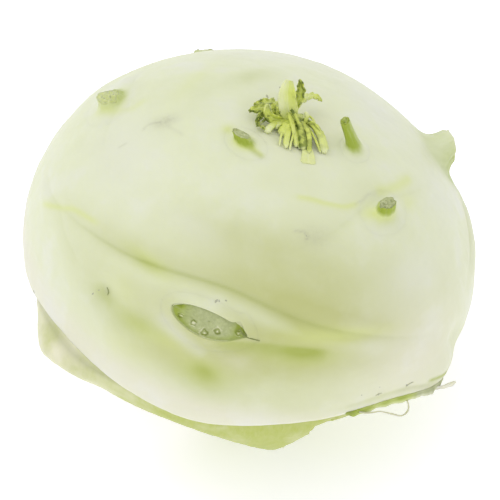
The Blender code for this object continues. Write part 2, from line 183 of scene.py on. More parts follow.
# A scar's bed: its first and last ring as shares of the way from the middle, and how many rings. Its steep
# edge: that share, and the share of the climb from bed to lip. Steps out, as shares of the margin's width
SCAR_BED = (0.04, 0.97, 26)
SCAR_WALL = ((0.985, 0.35), (1.0, 0.8))
SCAR_STEPS_OUT = (0.03, 0.07, 0.13, 0.2, 0.3, 0.42, 0.55, 0.7, 0.85, 1.0)
# Ringed bundle ends in a scar: share of its length, share of the sag below its axis, radius
BUNDLES = (
    (0.15, 0.32, 0.75),
    (0.33, 0.38, 0.7),
    (0.495, 0.66, 0.95),
    (0.64, 0.33, 0.85),
    (0.88, 0.02, 0.75),
)

# Cut stalk stubs: name, azimuth, latitude, width, thickness, length, lean east and north in degrees, slope of
# the cut
STALK_STUBS = (
    ("left_crown", -134, 73, 5.0, 3.6, 3.2, -34, -12, 0.5),
    ("right_crown", -21.5, 73.2, 4.1, 3.2, 7.2, -12, 45, 0.3),
    ("shoulder", -42, 56.5, 6.4, 4.6, 3.4, 3, 30, 0.4),
    ("right_side", 22, 38.6, 10.2, 7.0, 2.3, -2, 6, -0.85),
    ("upper_left", 165, 40.5, 8.0, 6.0, 2.4, -8, -8, 0.3),
    ("back_shoulder", 110, 29, 7.2, 5.0, 3.3, -6, 0, 0.3),
    ("back_side", 62, 8, 8.6, 5.4, 3.4, 4, 12, 0.3),
    ("back_left", 146, -2, 7.4, 5.0, 2.6, -4, 6, 0.3),
)
# Their looks: how green the sides and the cut are, the greenest side in degrees from east, how ragged the cut
# is, the share of the foot that stays skin, the softness of the change, and how dry the cut is
STUB_LOOKS = {
    "left_crown": (1.0, 0.1, -75, 0.12, 0.12, 0.4, 1.0),
    "right_crown": (0.95, 1.3, -150, 0.12, 0.0, 0.3, 0.2),
    "shoulder": (1.15, 0.05, -100, 0.35, 0.4, 0.25, 1.0),
    "right_side": (0.7, 0.3, -90, 0.14, 0.0, 0.05, 0.8),
    "upper_left": (0.5, 0.14, 150, 0.6, 0.0, 0.5, 0.3),
    "back_shoulder": (0.6, 0.2, -90, 0.4, 0.2, 0.35, 1.0),
    "back_side": (0.5, 0.1, -90, 0.4, 0.3, 0.3, 1.0),
    "back_left": (0.5, 0.3, -90, 0.4, 0.2, 0.35, 0.9),
}
STUB_COLUMNS = 72
# A stub's outline from its foot to its cut: share of the half width, share of the length
STUB_OUTLINE = (
    (3.1, -0.05), (2.7, 0.0), (2.3, 0.02), (1.95, 0.045), (1.7, 0.09), (1.5, 0.16), (1.34, 0.26),
    (1.22, 0.38), (1.13, 0.52), (1.07, 0.66), (1.03, 0.8), (1.0, 0.92), (0.975, 0.985), (0.93, 1.0),
    (0.88, 0.985),
)
# The cut lies inside this share. Its rings, so many, run inwards from the first share to the last
STUB_CUT = 0.95
STUB_FACE = (0.82, 0.08, 12)

# Colour by place, all as azimuth, latitude, half sizes east and north, strength
# Green skin at leaf bases and buds, and in hollows, where it is partly painted shade
GREEN_PLACES = (
    (-134, 16.2, 3.0, 3.0, 0.45),
    (-134, 14.5, 6.5, 6, 0.2),
    (-103.5, 10.2, 3.8, 3.0, 0.6),
    (-103, 7.5, 8, 6.5, 0.36),
    (-121, 15.5, 6.5, 4.0, 0.4),
    (-126, 13, 8, 5, 0.22),
    (-129, 31.0, 6.5, 2.2, 0.32),
    (-83, 22.4, 8.0, 2.2, 0.4),
    (-85, 21.0, 11, 3.2, 0.2),
    (-92, 14, 16, 6, 0.12),
    (-42, 54.6, 4.2, 2.4, 0.3),
    (168, 41, 5, 4, 0.22),
    (168, 66, 10, 5, 0.08),
    (126, 72, 8, 4, 0.25),
    (70, 26, 16, 5, 0.45),
    (128, 10, 12, 4, 0.45),
    (62, 5, 7, 4, 0.35),
    (22, 33, 9, 4, 0.25),
)
# Painted shade by place: the yellower middle and sides, partly the skin's own tone and partly painted shade
# where less light falls
SHADE_PLACES = (
    (-80, 38, 34, 15, 0.75),
    (-86, 20, 34, 11, 0.7),
    (-112, 46, 22, 9, 0.28),
    (-100, 50, 16, 7, 0.22),
    (-71, 29.5, 12, 4.5, 0.35),
    (-104, 15, 20, 10, 0.35),
    (-110, 11, 12, 7, 0.3),
    (-79, 27.5, 12, 3.4, 0.6),
    (-66, 27, 12, 3.0, 0.3),
    (-120, 7, 9, 6, 0.22),
    (-104, 0, 28, 5, 0.15),
    (-74, 29, 9, 2.4, 0.3),
    (-80, 4, 24, 8, 0.3),
    (-135, 22, 16, 10, 0.2),
    (85, 22, 44, 18, 0.4),
)
CREAM_PLACES = (
    (-125, 0, 17, 7, 0.2),
    (-46, 14, 22, 20, 0.55),
    (-96, -4, 40, 5, 0.6),
    (-90, 87, 11, 11, 0.5),
    (-97, 17, 5, 3.4, 0.3),
    (120, -4, 60, 8, 0.4),
)
# Painted highlights where swellings catch the light; they pale the green and the shade masks
PAINTED_HIGHLIGHT_PLACES = (
    (-112, 29.5, 9, 2.6, 0.7),
    (-113, 18, 6.5, 1.6, 0.3),
    (-121, 40, 30, 9, 0.25),
)
TAN_PLACES = (
    (-79, 53.2, 4.6, 3.4, 0.3),
    (-173.6, 57.8, 2.2, 3.6, 0.55),
    (-134, 17.2, 1.3, 1.8, 0.3),
)
FRESH_PLACES = (
    (-153, 71.8, 1.7, 1.7, 0.8),
    (-137, 71.0, 2.4, 1.6, 0.5),
    (-26, 54.5, 3.6, 2.6, 0.4),
    (-50, 57.8, 3.2, 2.2, 0.6),
    (-122, 14.2, 6.5, 3.2, 0.4),
    (-104, 9.5, 6.5, 4.6, 0.45),
    (-128, 31.6, 7.0, 2.4, 0.6),
    (-80, 21.4, 11, 3.2, 0.4),
    (-78, 27.5, 10, 3.0, 0.45),
    (-66, 27, 10, 2.4, 0.4),
    (-120, 7, 8, 5, 0.12),
    (-126, 4, 9, 5, 0.15),
    (-131, 21, 6, 5, 0.25),
    (-114, 15, 6, 3, 0.3),
    (167, 41, 5, 5, 0.45),
    (150, 62, 14, 3.0, 0.25),
    (70, 25, 14, 4.4, 0.5),
    (128, 9, 10, 3.6, 0.5),
)
BLOOM_PLACES = (
    (-165, 45, 16, 12, 0.5),
    (35, 60, 14, 10, 0.6),
    (-5, 46, 11, 9, 0.45),
    (-42, 38, 12, 8, 0.4),
    (-122, 46, 9, 4, 0.3),
    (100, 56, 20, 10, 0.4),
)
# Soft lines of colour: mask, strength, half widths above and below, then azimuth and latitude along the line
STREAKS = (
    (
        "green", 0.14, 0.5, 0.8,
        ((-132, 30.2), (-122, 33.4), (-113, 34.9), (-105, 35.4), (-98, 34.8), (-91, 33.3)),
    ),
    ("green", 0.6, 0.7, 3.2, ((-103, 20.2), (-98, 22.3), (-91, 23.7), (-85, 23.8), (-79, 23.4), (-74, 22.8))),
    ("green", 0.5, 0.9, 0.9, ((-138, 72.0), (-130, 72.2), (-122, 72.1), (-114, 72.0))),
    ("fresh", 0.7, 0.6, 1.1, ((-88, 64.1), (-79, 63.8), (-69, 62.4), (-61, 61.4), (-53, 61.4))),
    ("tan", 0.25, 0.4, 0.4, ((-56, 61.2), (-50, 61.7), (-45, 62.2), (-38, 61.4))),
    ("fresh", 0.6, 1.7, 1.7, ((-39, 62.1), (-33, 61.0), (-26, 59.5), (-18, 58.2), (-10, 56.5))),
    ("fresh", 0.35, 1.4, 1.8, ((168, 36.5), (171, 41.0), (172.5, 45.0), (173, 48.5), (168, 52.0))),
    ("fresh", 0.5, 0.9, 0.9, ((-136, 71.4), (-128, 72.3), (-121, 72.6), (-114, 72.3))),
    ("bloom", 0.4, 2.4, 2.6, ((-119, 21.0), (-114, 19.0), (-111, 17.6), (-108, 16.4), (-104, 15.4))),
    ("fresh", 0.6, 1.0, 1.0, ((-169, 14.7), (-162, 21.3), (-157, 25.7), (-148, 29.5))),
    ("green", 0.9, 0.5, 0.8, ((-42, 4.0), (-38, 2.9), (-34, 1.3), (-31, -0.8))),
    ("green", 0.3, 0.7, 2.0, ((-67, 3.0), (-61, 4.3), (-55, 4.8), (-49, 4.3), (-43, 2.8), (-38, 1.2))),
    ("tan", 0.22, 0.6, 1.6, ((-52, 4.4), (-47, 3.8), (-42, 2.4), (-37, 0.8))),
    ("tan", 0.3, 0.4, 0.4, ((-171, 51.6), (-173, 52.6), (-174, 54.6), (-174, 57.0))),
    ("tan", 0.18, 0.7, 0.7, ((-170, 58.0), (-166, 59.4), (-160, 61.2))),
    ("tan", 0.5, 0.4, 0.4, ((-88, 54.4), (-84, 54.7), (-82, 53.6), (-83, 52.6))),
    ("tan", 0.3, 0.4, 0.4, ((-168, 44.2), (-168, 47.0))),
)
# How many points such a line gets, how far beyond its marks it fades out, and over which share of it
LINE_STEPS = 60
LINE_BEYOND = 0.06
LINE_FADE = 0.2

# The tuft's core: radius, how far its middle lies from the crown, faces round it and up it
CORE_RADIUS = 3.6
CORE_MIDDLE = (0.6, -1.2)
CORE_COLUMNS = 48
CORE_ROWS = 16
# The tuft's stalks, in the crown's own frame: three points of each one's run with heights over the skin, the
# radius at both ends, how dark it is and how pale its end is
STALK_STEPS = 34
STALK_COLUMNS = 28
STALKS = (
    ((-1.0, -2.4, 1.8), (-2.6, -7.2, 3.2), (-3.7, -9.6, 1.0), 1.1, 1.3, 0.2, 0.1),
    ((-0.4, -2.8, 1.8), (-3.0, -9.0, 3.0), (-2.5, -14.0, 0.6), 0.9, 0.65, 0.3, 0.3),
    ((0.2, -2.8, 1.8), (-0.8, -9.0, 3.2), (0.4, -13.0, 0.6), 0.8, 0.6, 0.6, 0.2),
    ((0.6, -2.6, 2.0), (1.0, -9.0, 4.2), (2.3, -13.8, 0.7), 1.1, 0.9, 1.5, 0.0),
    ((0.2, -3.0, 2.0), (0.0, -9.6, 3.2), (1.2, -13.4, 0.6), 0.45, 0.4, 1.2, 0.0),
    ((1.4, -2.4, 2.0), (3.6, -8.6, 4.0), (3.8, -14.6, 0.6), 0.8, 0.55, 0.9, 0.0),
    ((2.0, -1.6, 2.0), (6.4, -4.6, 3.8), (8.3, -13.0, 0.5), 0.8, 1.1, 0.6, 0.4),
    ((3.0, -4.6, 2.6), (5.0, -9.4, 2.4), (7.2, -13.3, 0.4), 0.35, 0.3, 0.4, 0.2),
    ((-2.6, -3.0, 1.8), (-6.4, -6.0, 2.4), (-8.0, -9.2, 0.5), 0.7, 0.9, 0.15, 0.9),
    ((-1.6, -3.0, 1.8), (-4.2, -5.6, 2.8), (-5.6, -7.0, 1.0), 0.8, 0.7, 0.6, 0.6),
    ((2.2, -3.4, 2.0), (3.4, -3.4, 3.6), (2.4, -0.8, 4.4), 0.5, 0.5, 0.1, 0.9),
    ((3.0, -4.0, 3.8), (5.0, -4.8, 4.4), (6.9, -7.6, 2.6), 0.3, 0.25, 0.7, 0.2),
    ((2.4, 0.0, 3.0), (4.4, -0.8, 3.4), (5.3, -2.8, 2.4), 0.3, 0.25, 0.5, 0.5),
    ((-2.4, -4.2, 6.6), (0.0, -5.0, 5.2), (2.4, -11.6, 1.6), 0.45, 0.6, 1.2, 0.0),
    ((-1.6, -4.4, 5.6), (0.4, -5.8, 4.6), (1.6, -10.4, 2.0), 0.35, 0.4, 1.1, 0.0),
    ((-2.8, -4.2, 5.2), (-1.4, -5.6, 4.4), (-0.4, -10.4, 1.6), 0.7, 0.5, 0.15, 0.2),
    ((-1.6, -4.6, 2.6), (-4.6, -9.4, 2.8), (-4.2, -13.4, 0.4), 0.35, 0.25, 0.3, 0.6),
    ((1.0, -5.0, 3.0), (-1.6, -11.0, 2.4), (-1.4, -14.6, 0.4), 0.35, 0.22, 0.2, 0.6),
    ((-4.0, -3.2, 2.2), (-7.6, -3.6, 3.4), (-9.4, -6.6, 1.2), 0.4, 0.3, 1.4, 0.0),
)
# Young leaves: foot, middle and tip of the rib and where the upper face looks, then half width, lobes,
# ruffle, cupping, how dark, how pale, and which side is paler. No lobes make a smooth leaf, and -1 a flat fan
LEAF_STEPS = 60
LEAF_CROSS = 35
LEAVES = (
    (
        (-0.4, -3.6, 1.6), (-4.4, -2.2, 6.6), (-4.2, 1.4, 12.0), (-0.1, -0.9, 0.3),
        2.6, 0, 0.3, 0.25, 0.4, 0.3, -1,
    ),
    (
        (-1.4, 0.4, 1.8), (1.6, 3.0, 7.4), (-0.9, 4.8, 10.4), (-0.2, -0.7, 0.6),
        1.4, 4, 0.5, 0.7, 1.2, 0.1, 0,
    ),
    (
        (-0.6, 1.6, 1.8), (2.6, 6.2, 7.4), (7.2, 6.0, 3.2), (-0.2, -0.5, 0.8),
        1.0, 5, 0.4, -0.1, 0.4, 0.6, 0,
    ),
    (
        (-1.2, 0.0, 1.8), (-6.4, 1.2, 4.8), (-12.0, -1.8, 3.2), (-0.1, -0.6, 0.8),
        1.6, 5, 0.5, 0.1, 0.9, 0.6, 0,
    ),
    (
        (-1.6, -1.0, 1.8), (-8.6, -1.2, 4.4), (-13.2, -4.0, 2.4), (-0.2, -0.7, 0.7),
        1.6, 4, 0.45, 0.1, 1.3, 0.3, 0,
    ),
    (
        (-2.4, -2.6, 1.8), (-8.8, -6.8, 1.8), (-8.8, -4.2, 6.2), (-0.1, -0.9, 0.4),
        1.3, 0, 0.1, 0.7, 0.9, 0.0, 0,
    ),
    (
        (-2.6, -2.4, 2.0), (-12.6, -4.4, 4.6), (-10.6, -8.4, 1.2), (0.3, -0.6, 0.7),
        0.9, 3, 0.35, 0.9, 1.8, 0.0, 0,
    ),
    (
        (-2.0, -1.2, 1.9), (-6.2, -3.4, 3.4), (-7.2, -2.0, 5.4), (-0.2, -0.8, 0.5),
        1.2, 4, 0.35, 0.2, 0.2, 0.7, 0,
    ),
    (
        (-2.2, -2.0, 1.9), (-5.2, -3.8, 3.2), (-6.4, -3.0, 4.8), (-0.1, -0.9, 0.4),
        0.8, 2, 0.2, 0.4, 0.9, 0.0, 0,
    ),
    (
        (-9.8, -8.0, 1.4), (-9.4, -8.6, 1.6), (-8.0, -8.0, 0.8), (0.0, -0.3, 1.0),
        0.5, 0, 0.1, 0.3, 1.2, 0.0, 0,
    ),
    (
        (3.0, -11.0, 0.9), (3.6, -14.2, 0.4), (3.9, -17.8, 0.0), (0.0, -0.3, 1.0),
        2.2, -1, 0.1, 0.0, 0.3, 0.6, 0,
    ),
)

# The torn strip under the lip: its ends by azimuth, its depth, how far it reaches up and in behind the lip,
# and its thickness
STRIP_FROM = -66.5
STRIP_TO = -36.0
STRIP_DEPTH = 1.5
STRIP_BEHIND = 1.2
STRIP_THICKNESS = 0.7
STRIP_COLUMNS = 170
STRIP_ROWS = 12
# The fibre that hangs from the strip: azimuth, drop and reach out along it, and its radius
FIBRE = (
    (-63.0, 0.0, 0.3), (-61.0, 0.9, 0.7), (-57.5, 1.7, 0.9), (-54.0, 3.9, 1.0), (-51.5, 5.7, 1.0),
    (-50.0, 5.9, 0.9), (-48.8, 5.0, 0.8), (-48.4, 3.2, 0.6), (-48.8, 1.1, 0.4),
)
FIBRE_RADIUS = 0.25
FIBRE_STEPS = 90
FIBRE_COLUMNS = 10
# The torn flake at the strip's right end, in the same way, its half width and its thickness
RAG = ((-39.5, 0.5, 0.1), (-37.5, 0.8, 1.4), (-35.5, 0.8, 2.6), (-34.0, 0.4, 3.4))
RAG_WIDTH = 0.7
RAG_THICKNESS = 0.35
RAG_ROWS = 24
RAG_CROSS = 11
# Thin threads on the skin: radius, how dark, then azimuth and latitude along the thread
THREADS = (
    (0.24, 0.7, ((-98.2, 26.4), (-97.4, 25.2), (-96.2, 24.5), (-92.6, 24.3))),
    (0.16, 0.5, ((-134.2, 18.3), (-133.4, 17.4), (-133.3, 16.2))),
    (0.13, 0.0, ((-58.6, 5.3), (-57.8, 5.7), (-56.9, 5.8))),
    (0.12, 0.0, ((-49.2, 4.9), (-48.2, 5.5), (-46.8, 5.6))),
)
THREAD_RISE = 0.08
THREAD_STEPS = 40
THREAD_COLUMNS = 8
# Flecks on the skin: azimuth, latitude, radius. So many more lie scattered over the back
FLECKS = (
    (-106.3, 30.9, 0.3), (-105.6, 31.4, 0.2), (-103.9, 32.1, 0.25), (135.8, 80.7, 0.35),
    (106.3, 78.4, 0.28), (-57.8, 5.6, 0.35), (-48.8, 5.2, 0.25), (-47.5, 5.6, 0.2), (-158.1, -10.0, 0.4),
    (-157.6, -14.0, 0.35), (-63.0, 7.0, 0.15), (-58.0, 8.4, 0.15), (-136.0, 15.6, 0.2),
    (-137.0, 13.4, 0.2), (-82.6, 53.6, 0.18),
)
MORE_FLECKS = 18
FLECK_COLUMNS = 9

# The stage: how much the floor glows, lighting the globe from below and lightening its shadow, the
# surroundings' strength, each lamp's name, place in metres, size and power, and the camera's distance,
# elevation, lens and sensor
FLOOR_GLOW = 0.45
SURROUNDINGS = 0.84
LAMPS = (
    ("key", (-0.45, 0.15, 1.1), 0.9, 2.5),
    ("fill", (0.5, -1.0, 0.5), 0.8, 0.5),
)
CAMERA_DISTANCE = 0.7
CAMERA_ELEVATION = 41.5
CAMERA_LENS = 176.5
CAMERA_SENSOR = 36


def count_property(name, description, default, low, high):
    """A number of faces that a user may change."""
    return bpy.props.IntProperty(name=name, description=description, default=default, min=low, max=high)


def length_property(name, description, default):
    """A length in metres that a user may change."""
    return bpy.props.FloatProperty(name=name, description=description, default=default, unit="LENGTH")


class KohlrabiSizes(bpy.types.PropertyGroup):
    """Sizes of the finer pieces."""

    skin_columns: count_property("Skin columns", "Faces of the skin round the globe", 440, 48, 480)
    skin_rows: count_property("Skin rows", "Faces of the skin from the crown to the lip", 190, 24, 200)
    rind_rows: count_property("Rind rows", "Faces of the rind from the lip to the flat", 110, 18, 200)
    skin_lumps: length_property("Skin lumps", "Height of the skin's soft unevenness", 0.07 * MM)
    knife_rounding: length_property("Knife edge", "Rounding of the edges between knife cuts", 0.5 * MM)
    leaf_thickness: length_property("Leaf thickness", "Thickness of the young leaves", 0.5 * MM)
    floor_size: length_property("Floor", "Side of the floor", 6.0)


def colour_property(name, description, colour):
    """A colour that a user may change."""
    return bpy.props.FloatVectorProperty(
        name=name, description=description, default=colour, subtype="COLOR", size=3, min=0.0, max=1.0
    )


class KohlrabiColours(bpy.types.PropertyGroup):
    """Colours of the skin, the cuts and the young leaves."""

    skin: colour_property("Skin", "Most of the skin", (0.74, 0.775, 0.54))
    skin_bloom: colour_property("Skin bloom", "Waxy bluish patches", (0.76, 0.77, 0.68))
    skin_fresh: colour_property("Fresh skin", "Yellow-green skin by the leaf bases", (0.68, 0.74, 0.27))
    # Yellower skin tone, partly painted shade on the middle and lower sides
    skin_shade: colour_property("Skin shade", "The yellower skin of the sides", (0.52, 0.545, 0.22))
    skin_cream: colour_property("Skin cream", "The pale skin by the lip", (0.75, 0.72, 0.575))
    # Green of the leaf bases, and partly painted shade in hollows
    skin_green: colour_property("Skin green", "Hollows and leaf bases", (0.40, 0.46, 0.09))
    scar_tan: colour_property("Dry skin", "Healed grazes and specks", (0.42, 0.42, 0.29))
    stub_green: colour_property("Stub green", "Sides of the cut stalks", (0.33, 0.42, 0.03))
    cut_face: colour_property("Cut face", "Dried cut faces", (0.50, 0.54, 0.29))
    # Dark edges of dried cuts, also the colour of painted shade under the lip and along the scars' upper rims
    cut_dark_and_shade: colour_property("Cut edge", "Dark edges of dried cuts", (0.11, 0.13, 0.025))
    bundle: colour_property("Bundle", "Fibre bundles in cut faces", (0.80, 0.80, 0.54))
    rind: colour_property("Rind", "Knife-cut rind", (0.43, 0.49, 0.08))
    rind_pale: colour_property("Rind flesh", "Pale flesh in the rind", (0.86, 0.83, 0.66))
    leaf: colour_property("Leaf", "Young leaves", (0.65, 0.72, 0.15))
    # Dark parts of the young leaves, also the colour of painted shade under stalks, in folds and in the
    # tuft's core
    leaf_dark_and_shade: colour_property("Leaf dark", "Dark parts of the young leaves", (0.13, 0.18, 0.02))
    # Ribs and stalk ends, and the painted highlight on smooth leaf tips
    leaf_pale: colour_property("Leaf pale", "Ribs and stalk ends", (0.78, 0.82, 0.48))
    # A little blue, against the green light that the globe throws on the floor; the floor also glows in it
    floor: colour_property("Floor", "The plain floor", (0.88, 0.87, 0.96))


def sizes():
    """The sizes as the scene holds them."""
    return bpy.context.scene.kohlrabi_sizes


def colours():
    """The colours as the scene holds them."""
    return bpy.context.scene.kohlrabi_colours


# Shape rules


def bell(value):
    """1 at 0, falling off smoothly to both sides."""
    return np.exp(-(value**2))


def ease(value):
    """A smooth step from 0 to 1."""
    value = np.clip(value, 0.0, 1.0)
    return value * value * (3 - 2 * value)


def directions(azimuth, elevation):
    """Unit vectors at these angles in degrees, one row each."""
    azimuth, elevation = np.broadcast_arrays(np.radians(azimuth), np.radians(elevation))
    level = np.cos(elevation)
    return np.stack([level * np.cos(azimuth), level * np.sin(azimuth), np.sin(elevation)], axis=-1)


def unit(vectors):
    """The vectors at length 1."""
    return vectors / np.linalg.norm(vectors, axis=-1, keepdims=True)


def full_turn(columns):
    """Angles of evenly spaced columns round a closed ring."""
    return np.arange(columns) * 2 * math.pi / columns


def stacked(x, y, z):
    """Points from their coordinates; a plain number holds for all of them."""
    return np.stack(np.broadcast_arrays(x, y, z), axis=-1)


def ripple(points, size, seed):
    """Soft unevenness between about -1 and 1, of a given size, as a sum of waves in seeded directions."""
    draw = np.random.default_rng(seed)
    total = np.zeros(points.shape[:-1])
    for _ in range(RIPPLE_WAVES):
        wave = unit(draw.normal(size=3)) * (2 * math.pi / size) * draw.uniform(0.6, 1.5)
        total += np.sin(points @ wave + draw.uniform(0, 2 * math.pi))
    return total / RIPPLE_REACH


def local_plane(own, azimuth, latitude):
    """How far directions in the globe's own frame lie east and north of a place, and which are near it."""
    place = directions(azimuth, latitude)
    east = directions(azimuth + 90, 0)
    north = np.cross(place, east)
    radius = HALF_AXES[0]
    return own @ east * radius, own @ north * radius, own @ place > 0.2


def fold_line(own, azimuth, latitude, reach, rise, droop):
    """How far directions lie above a fold's crease, and how near they are to the middle of its length."""
    east, north, near = local_plane(own, azimuth, latitude)
    crest = bell(east / (CREST_SHARE * reach))
    return north - rise + droop * (1 - crest), near * np.exp(-((east / reach) ** 4))


def fold_relief(own, azimuth, latitude, reach, rise, droop, depth):
    """A crease over a leaf base, and under it the low swelling that carries the base."""
    above, along = fold_line(own, azimuth, latitude, reach, rise, droop)
    crease = -0.8 * depth * bell(above / CREASE_WIDTH) - 0.22 * depth * bell(above / 0.8)
    swelling = depth * bell((above + 0.75 * rise) / (0.6 * rise))
    return along * (crease + swelling)


def places(own, table):
    """Sum of soft round spots, each with a strength or a height."""
    total = np.zeros(own.shape[:-1])
    for azimuth, latitude, half_east, half_north, strength in table:
        east, north, near = local_plane(own, azimuth, latitude)
        total += near * strength * bell(east / half_east) * bell(north / half_north)
    return total


def smooth_run(values, steps):
    """A smooth run through a few values, evenly spaced."""
    values = np.asarray(values, float)
    at = np.linspace(0, len(values) - 1, steps)
    low = np.clip(at.astype(int), 0, len(values) - 2)
    t = (at - low)[:, None]
    before = values[np.maximum(low - 1, 0)]
    after = values[np.minimum(low + 2, len(values) - 1)]
    first, second = values[low], values[low + 1]
    return 0.5 * (
        2 * first
        + (second - before) * t
        + (2 * before - 5 * first + 4 * second - after) * t**2
        + (3 * first - before - 3 * second + after) * t**3
    )


def near_line(own, marks, above, below):
    """How near directions are to a line through places on the globe, from 0 to 1, softer on one side."""
    line = directions(*smooth_run(marks, LINE_STEPS).T)
    north = unit(np.cross(line, np.gradient(line, axis=0)))
    flat = own.reshape(-1, 3)
    nearest = (flat @ line.T).argmax(axis=1)
    gap = (flat - line[nearest]) * HALF_AXES[0]
    higher = np.einsum("ij,ij->i", gap, north[nearest]) > 0
    run = nearest / (len(line) - 1)
    closeness = bell(np.linalg.norm(gap, axis=1) / np.where(higher, above, below))
    ends = ease((run + LINE_BEYOND) / LINE_FADE), ease((1 + LINE_BEYOND - run) / LINE_FADE)
    return (closeness * ends[0] * ends[1]).reshape(own.shape[:-1])


def skin_relief(own):
    """Height of the pale skin over the plain ellipsoid."""
    from_crown = np.hypot(own[..., 0], own[..., 1]) * HALF_AXES[0]
    relief = -DIMPLE_DEPTH * bell(from_crown / DIMPLE_RADIUS) * (own[..., 2] > 0)
    for fold in FOLDS:
        relief += fold_relief(own, *fold)
    lumps = ripple(own * HALF_AXES[0], 9.0, 3) + 0.6 * ripple(own * HALF_AXES[0], 4.0, 4)
    return relief + places(own, SOFT_SPOTS) + sizes().skin_lumps / MM * lumps


def angle_from(azimuth, place):
    """The shorter way round from one azimuth to another, in degrees."""
    return (azimuth - place + 180) % 360 - 180


def lip_elevation(azimuth):
    """Elevation of the lip at an azimuth."""
    waves = (height * bell(angle_from(azimuth, place) / width) for place, width, height in LIP_WAVES)
    return LIP_LEVEL + sum(waves)


def ellipsoid_places(own, height):
    """Points that lie `height` over the plain ellipsoid in directions of the globe's own frame."""
    normal = unit(own / HALF_AXES)
    return (own * HALF_AXES + normal * np.asarray(height)[..., None]) @ TILT.T + MIDDLE


def skin_places(own):
    """Points on the skin in directions of the globe's own frame."""
    return ellipsoid_places(own, skin_relief(own))


def own_of(points):
    """Directions in the globe's own frame of points on the globe."""
    return unit((points - MIDDLE) @ TILT / HALF_AXES)


class Seat:
    """A frame on the skin: X east, Y north towards the crown, Z straight out."""

    def __init__(self, azimuth, latitude, turn=0.0):
        own = directions(azimuth, latitude)
        normal = unit(own / HALF_AXES)
        east = directions(azimuth + 90, 0)
        north = np.cross(normal, east)
        swing = math.radians(turn)
        x_axis = east * math.cos(swing) + north * math.sin(swing)
        y_axis = north * math.cos(swing) - east * math.sin(swing)
        self.axes = TILT @ np.stack([x_axis, y_axis, normal], axis=1)
        self.origin = skin_places(own)

    def drape(self, x, y, height, lean=(0.0, 0.0)):
        """Points over the skin at x and y from the seat, and `height` straight out, with a lean."""
        flat = stacked(x, y, 0.0) @ self.axes.T + self.origin
        rise = stacked(lean[0] * height, lean[1] * height, height)
        return skin_places(own_of(flat)) + rise @ self.axes.T

    def drape_middle(self, height):
        """One point straight over the seat's own place."""
        return self.drape(np.zeros(1), np.zeros(1), np.full(1, height))


# Meshes


def new_piece(name, points, faces, material, masks):
    """An object from points in millimetres, with its colour masks."""
    mesh = bpy.data.meshes.new(name)
    mesh.from_pydata((np.asarray(points) * MM).tolist(), [], faces)
    mesh.validate()
    mesh.shade_smooth()
    for mask, values in masks.items():
        layer = mesh.attributes.new(mask, "FLOAT", "POINT")
        layer.data.foreach_set("value", np.clip(values, 0.0, 1.0).astype(np.float32))
    mesh.materials.append(material)
    piece = bpy.data.objects.new(name, mesh)
    bpy.context.scene.collection.objects.link(piece)
    return piece


def ring_faces(rings, columns, first=0):
    """Quads between closed rings of points that follow each other."""
    faces = []
    for ring in range(rings - 1):
        low, high = first + ring * columns, first + (ring + 1) * columns
        for column in range(columns):
            after = (column + 1) % columns
            faces.append((low + column, low + after, high + after, high + column))
    return faces


def fan_faces(ring_start, columns, tip, outward=True):
    """Triangles from one closed ring to a tip."""
    faces = []
    for column in range(columns):
        after = (column + 1) % columns
        pair = (ring_start + column, ring_start + after)
        faces.append((*pair, tip) if outward else (*pair[::-1], tip))
    return faces


def sheet_faces(rows, columns, turned=False):
    """Quads of a sheet of points, row after row."""
    faces = []
    for row in range(rows - 1):
        for column in range(columns - 1):
            first = row * columns + column
            after = first + columns
            if turned:
                faces.append((first, after, after + 1, first + 1))
            else:
                faces.append((first, first + 1, after + 1, after))
    return faces


def closed_tube(rings, columns, points):
    """Points and faces of a tube round a run of points, closed at both ends of the run."""
    count = len(rings) * columns
    faces = ring_faces(len(rings), columns)
    faces += fan_faces(0, columns, count, outward=False)
    faces += fan_faces((len(rings) - 1) * columns, columns, count + 1)
    return np.concatenate([*rings, points[:1], points[-1:]]), faces


def thicken(piece, thickness, offset=-1.0):
    """Gives a sheet its thickness in metres."""
    shell = piece.modifiers.new("thickness", "SOLIDIFY")
    shell.thickness = thickness
    shell.offset = offset


def finish_piece(piece, node):
    """Hangs a piece on the root body and hides the imported solid that it stands for."""
    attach(piece, "root")
    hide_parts(node)


# Materials

# Names of the shared grain's sizes, and the scale of its streaks along the growth axis
GRAIN_SIZES = ("Mottle Size", "Streak Size", "Pit Size")
STREAK_STRETCH = 0.16
BUMP_STRENGTH = 0.5


def new_group(name, inputs, outputs):
    """A shader node group with named sockets, with its input and output nodes."""
    group = bpy.data.node_groups.new(name, "ShaderNodeTree")
    for socket, kind in inputs:
        group.interface.new_socket(socket, in_out="INPUT", socket_type=kind)
    for socket, kind in outputs:
        group.interface.new_socket(socket, in_out="OUTPUT", socket_type=kind)
    return group, group.nodes.new("NodeGroupInput"), group.nodes.new("NodeGroupOutput")


def add_node(tree, kind, **settings):
    """A new node with these settings."""
    node = tree.nodes.new(kind)
    for name, value in settings.items():
        setattr(node, name, value)
    return node


def add_noise(tree, vector, scale, detail, roughness):
    """Noise over these coordinates; scale is in turns a metre."""
    noise = add_node(tree, "ShaderNodeTexNoise")
    noise.inputs["Scale"].default_value = scale
    noise.inputs["Detail"].default_value = detail
    noise.inputs["Roughness"].default_value = roughness
    tree.links.new(vector, noise.inputs["Vector"])
    return noise.outputs["Fac"]


def add_range(tree, value, low, high, to_low=0.0, to_high=1.0):
    """Maps a value from one range to another, and holds it there."""
    node = add_node(tree, "ShaderNodeMapRange")
    for socket, number in zip(("From Min", "From Max", "To Min", "To Max"), (low, high, to_low, to_high)):
        node.inputs[socket].default_value = number
    tree.links.new(value, node.inputs["Value"])
    return node.outputs["Result"]


